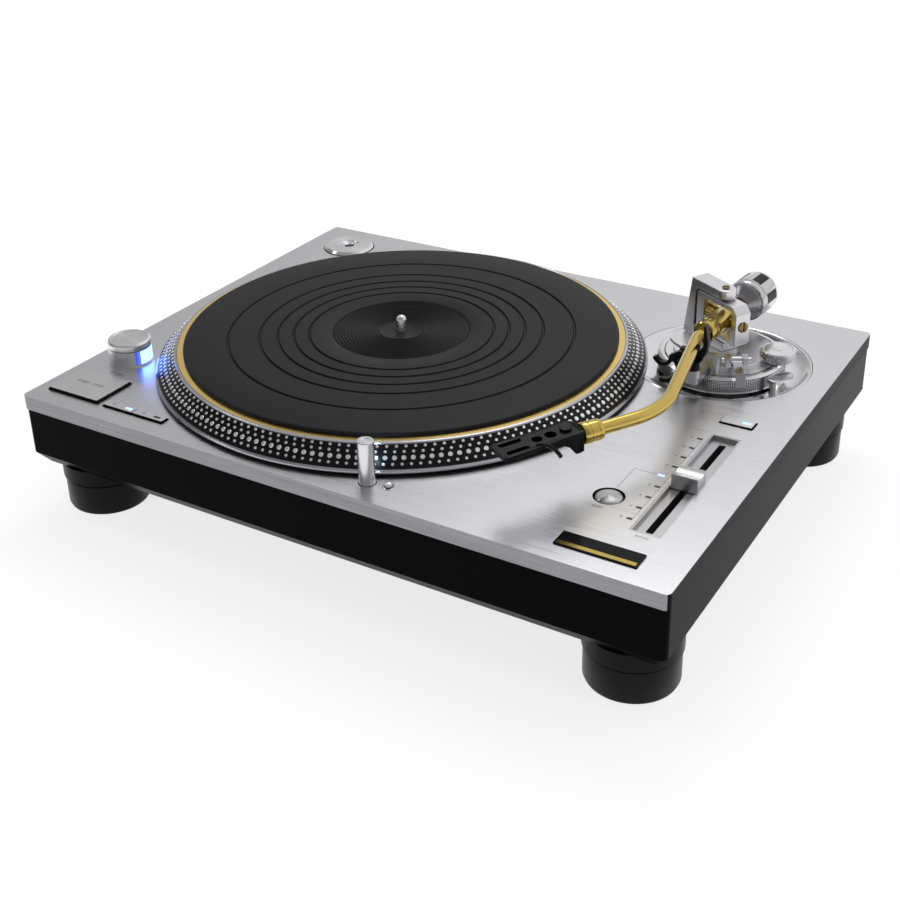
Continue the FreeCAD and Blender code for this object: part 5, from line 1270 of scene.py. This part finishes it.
class TURNTABLE_OT_counterweight(bpy.types.Operator):
    """Counterweight and its scale ring"""

    bl_idname = "turntable.counterweight"
    bl_label = "Counterweight"

    def execute(self, context):
        where = (*PIVOT, ARM_HEIGHT)
        back = BARREL_TURN + math.pi
        bore, radius, front, end = 4.6, 14, 31, 54
        weight = spun([(bore, front), (12.9, front), (13.6, front + 0.3), (radius, front + 1), (radius, 35),
                       (13.7, 35.2), (13.7, 35.7), (radius, 35.9), (radius, 52.6), (13.6, 53.6), (12.6, end),
                       (0, end), (0, end - 1), (bore, end - 1)])
        put(weight, where, back, LYING)
        chrome = lying_turned("Weight chrome", back, (0.62, 0.62, 0.64), (0.04, 0.1), 0.06)
        piece(weight, "Counterweight", "weight", chrome, ["counterweight"])
        inserts = []
        count, half_width = 6, 14
        for number in range(count):
            start = 360 / count * number + 20 - half_width
            stop = start + 2 * half_width
            inserts.append(slab([[*arc(0, 0, radius + 0.08, start, stop, 8), *arc(0, 0, 13.4, stop, start, 8)]],
                                37.2, 51, 0))
        piece(put(join(*inserts), where, back, LYING), "Weight_inserts", "weight", black_plastic())
        self.scale_ring(where, back, bore)
        return {"FINISHED"}

    def scale_ring(self, where, back, bore):
        """The ring before the weight, its cone knurled by points that stand out and in by turns."""
        rows, columns, cone_start, cone_width, knurl = 8, 144, 7.5, 4.6, 0.16
        cone = [(cone_start + cone_width * n / rows, 24 + 4.4 * n / rows) for n in range(rows + 1)]
        ring = spun([(bore, 22), (6.2, 22), (6.6, 22.4), *cone, (12.5, 29), (12.5, 30.5), (12.2, 30.7),
                     (bore, 30.7)], columns)
        for vert in ring.verts:
            reach = vert.co.xy.length / MM
            if 7.8 < reach < 12.3 and vert.co.z / MM < 29:
                row = round((reach - cone_start) / cone_width * rows)
                column = round(math.degrees(math.atan2(vert.co.y, vert.co.x)) / 360 * columns)
                vert.co.z += (knurl if (row + column) % 2 else -knurl) * MM
        put(ring, where, back, LYING)
        metal = lying_turned("Scale ring metal", back, (0.30, 0.30, 0.32), (0.22, 0.34), 0.25)
        piece(ring, "Scale_ring", "force_ring", metal, ["force_scale_ring"], sharp=28)


class TURNTABLE_OT_inside(bpy.types.Operator):
    """Boards in the case and the sockets at its back"""

    bl_idname = "turntable.inside"
    bl_label = "Inside and back"

    def execute(self, context):
        board = finish("Circuit board", (0.03, 0.16, 0.07), 0.0, (0.3, 0.45), scale=2500, bump=0.2)
        dress(board, "control_board", "power_supply")
        dress(black_plastic(), "terminal_bays", "mains_inlet")
        dress(turned("Gilt sockets", "phono_sockets", (0.8, 0.6, 0.28), spread=0), "phono_sockets")
        dress(bright_silver(), "ground_terminal")
        return {"FINISHED"}


# Stage -------------------------------------------------------------


class TURNTABLE_OT_stage(bpy.types.Operator):
    """Pale floor, soft studio light and camera"""

    bl_idname = "turntable.stage"
    bl_label = "Stage"

    def execute(self, context):
        scene = context.scene
        settings = scene.turntable_light
        scene.view_settings.view_transform = "Standard"
        self.floor(scene)
        self.surround(scene, settings.sky)
        self.lamp("Key", (-0.25, 0.85, 1.45), 0.6, settings.key_power)
        self.lamp("Side", (-1.0, -0.15, 1.1), 0.3, settings.side_power)
        self.camera(scene)
        return {"FINISHED"}

    def floor(self, scene):
        """A wide pale floor that shows white in sight and in reflections, and keeps a soft shadow."""
        half_width, glow = 12, 0.79
        bm = bmesh.new()
        bmesh.ops.create_grid(bm, x_segments=1, y_segments=1, size=half_width)
        mesh = bpy.data.meshes.new("Floor")
        bm.to_mesh(mesh)
        bm.free()
        item = bpy.data.objects.new("Floor", mesh)
        scene.collection.objects.link(item)
        material = bpy.data.materials.new("Pale floor")
        material.use_nodes = True
        tree = material.node_tree
        shader = tree.nodes["Principled BSDF"]
        shader.inputs["Base Color"].default_value = (0.36, 0.36, 0.365, 1)
        shader.inputs["Roughness"].default_value = 0.9
        shader.inputs["Specular IOR Level"].default_value = 0.1
        shader.inputs["Emission Color"].default_value = (1, 1, 1, 1)
        path = tree.nodes.new("ShaderNodeLightPath")
        seen, mirrored, glowing = (tree.nodes.new("ShaderNodeMath") for _ in range(3))
        seen.operation, mirrored.operation, glowing.operation = "MAXIMUM", "MAXIMUM", "MULTIPLY"
        glowing.inputs[1].default_value = glow
        link = tree.links.new
        link(path.outputs["Is Camera Ray"], seen.inputs[0])
        link(path.outputs["Is Glossy Ray"], seen.inputs[1])
        link(seen.outputs[0], mirrored.inputs[0])
        link(path.outputs["Is Transmission Ray"], mirrored.inputs[1])
        link(mirrored.outputs[0], glowing.inputs[0])
        link(glowing.outputs[0], shader.inputs["Emission Strength"])
        mesh.materials.append(material)

    def surround(self, scene, strength):
        """A soft graded studio, dimmer at the left and in front, and pale along the horizon."""
        world = scene.world or bpy.data.worlds.new("Studio")
        scene.world = world
        world.use_nodes = True
        tree = world.node_tree
        tree.nodes.clear()
        coords, axes, level, blend, sky, out = (tree.nodes.new("ShaderNode" + kind) for kind in (
            "TexCoord", "SeparateXYZ", "Math", "Mix", "Background", "OutputWorld"))
        link = tree.links.new
        link(coords.outputs["Generated"], axes.inputs[0])
        ramps, horizon = {}, 0.85
        for axis, start, stop, low in (("X", -0.85, -0.25, 0.42), ("Y", -0.35, 0.35, 0.36), ("Z", 0.02, 0.2, 0)):
            ramp = tree.nodes.new("ShaderNodeMapRange")
            ramp.interpolation_type = "SMOOTHSTEP" if axis == "Z" else "LINEAR"
            ramp.inputs["From Min"].default_value, ramp.inputs["From Max"].default_value = start, stop
            ramp.inputs["To Min"].default_value = low
            link(axes.outputs[axis], ramp.inputs["Value"])
            ramps[axis] = ramp.outputs["Result"]
        level.operation = "MULTIPLY"
        link(ramps["X"], level.inputs[0])
        link(ramps["Y"], level.inputs[1])
        blend.inputs[2].default_value = horizon
        link(ramps["Z"], blend.inputs[0])
        link(level.outputs[0], blend.inputs[3])
        link(blend.outputs[0], sky.inputs["Color"])
        sky.inputs["Strength"].default_value = strength
        link(sky.outputs[0], out.inputs["Surface"])

    def lamp(self, name, place, size, power):
        """A square soft light that faces the turntable."""
        light = bpy.data.lights.new(name, "AREA")
        light.shape = "SQUARE"
        light.size = size
        light.energy = power
        item = bpy.data.objects.new(name, light)
        item.location = place
        item.rotation_mode = "QUATERNION"
        item.rotation_quaternion = (Vector(place) - Vector((0, 0, DECK * MM))).to_track_quat("Z", "Y")
        bpy.context.scene.collection.objects.link(item)

    def camera(self, scene):
        """The camera at the photograph's angle."""
        place, lens, shift = (0.431957, -0.709481, 0.489412), 55.077, -0.1
        azimuth, elevation, roll = (math.radians(a) for a in (31.768, 25.884, -1.452))
        ahead = Vector((-math.sin(azimuth) * math.cos(elevation), math.cos(azimuth) * math.cos(elevation),
                        -math.sin(elevation)))
        right = ahead.cross(Vector((0, 0, 1))).normalized()
        up = right.cross(ahead)
        side = right * math.cos(roll) + up * math.sin(roll)
        rise = up * math.cos(roll) - right * math.sin(roll)
        camera = bpy.data.cameras.new("Camera")
        camera.sensor_width = 36
        camera.lens = lens
        camera.shift_y = shift
        camera.clip_start, camera.clip_end = 0.05, 50
        item = bpy.data.objects.new("Camera", camera)
        turn = Matrix((side, rise, -ahead)).transposed().to_4x4()
        item.matrix_world = Matrix.Translation(place) @ turn
        scene.collection.objects.link(item)
        scene.camera = item


class TURNTABLE_PT_panel(bpy.types.Panel):
    """Lists the turntable's operators and settings"""

    bl_idname = "TURNTABLE_PT_panel"
    bl_label = "Turntable"
    bl_space_type = "VIEW_3D"
    bl_region_type = "UI"
    bl_category = "Turntable"

    def draw(self, context):
        layout = self.layout
        for group in ("turntable_finish", "turntable_platter", "turntable_light"):
            settings = getattr(context.scene, group)
            box = layout.box()
            for name in settings.bl_rna.properties.keys():
                if name not in ("rna_type", "name"):
                    box.prop(settings, name)
        for operator in PIECES:
            layout.operator(operator.bl_idname)


SETTINGS = {"turntable_finish": FinishSettings, "turntable_platter": PlatterSettings,
            "turntable_light": LightSettings}
PIECES = (
    TURNTABLE_OT_plinth,
    TURNTABLE_OT_feet,
    TURNTABLE_OT_platter,
    TURNTABLE_OT_power_switch,
    TURNTABLE_OT_keys,
    TURNTABLE_OT_pitch_slider,
    TURNTABLE_OT_light,
    TURNTABLE_OT_trim,
    TURNTABLE_OT_arm_base,
    TURNTABLE_OT_antiskate,
    TURNTABLE_OT_cueing,
    TURNTABLE_OT_arm_rest,
    TURNTABLE_OT_gimbal,
    TURNTABLE_OT_arm,
    TURNTABLE_OT_counterweight,
    TURNTABLE_OT_inside,
    TURNTABLE_OT_stage,
)


def register():
    """Register the settings, operators and panel."""
    for group in SETTINGS.values():
        bpy.utils.register_class(group)
    for operator in PIECES:
        bpy.utils.register_class(operator)
    bpy.utils.register_class(TURNTABLE_PT_panel)
    for name, group in SETTINGS.items():
        setattr(bpy.types.Scene, name, PointerProperty(type=group))


def unregister():
    """Take the settings, operators and panel away again."""
    for name in SETTINGS:
        delattr(bpy.types.Scene, name)
    bpy.utils.unregister_class(TURNTABLE_PT_panel)
    for operator in reversed(PIECES):
        bpy.utils.unregister_class(operator)
    for group in SETTINGS.values():
        bpy.utils.unregister_class(group)


def main():
    """Build every piece and the stage."""
    register()
    for operator in PIECES:
        group, name = operator.bl_idname.split(".")
        getattr(getattr(bpy.ops, group), name)()


if __name__ == "__main__":
    main()
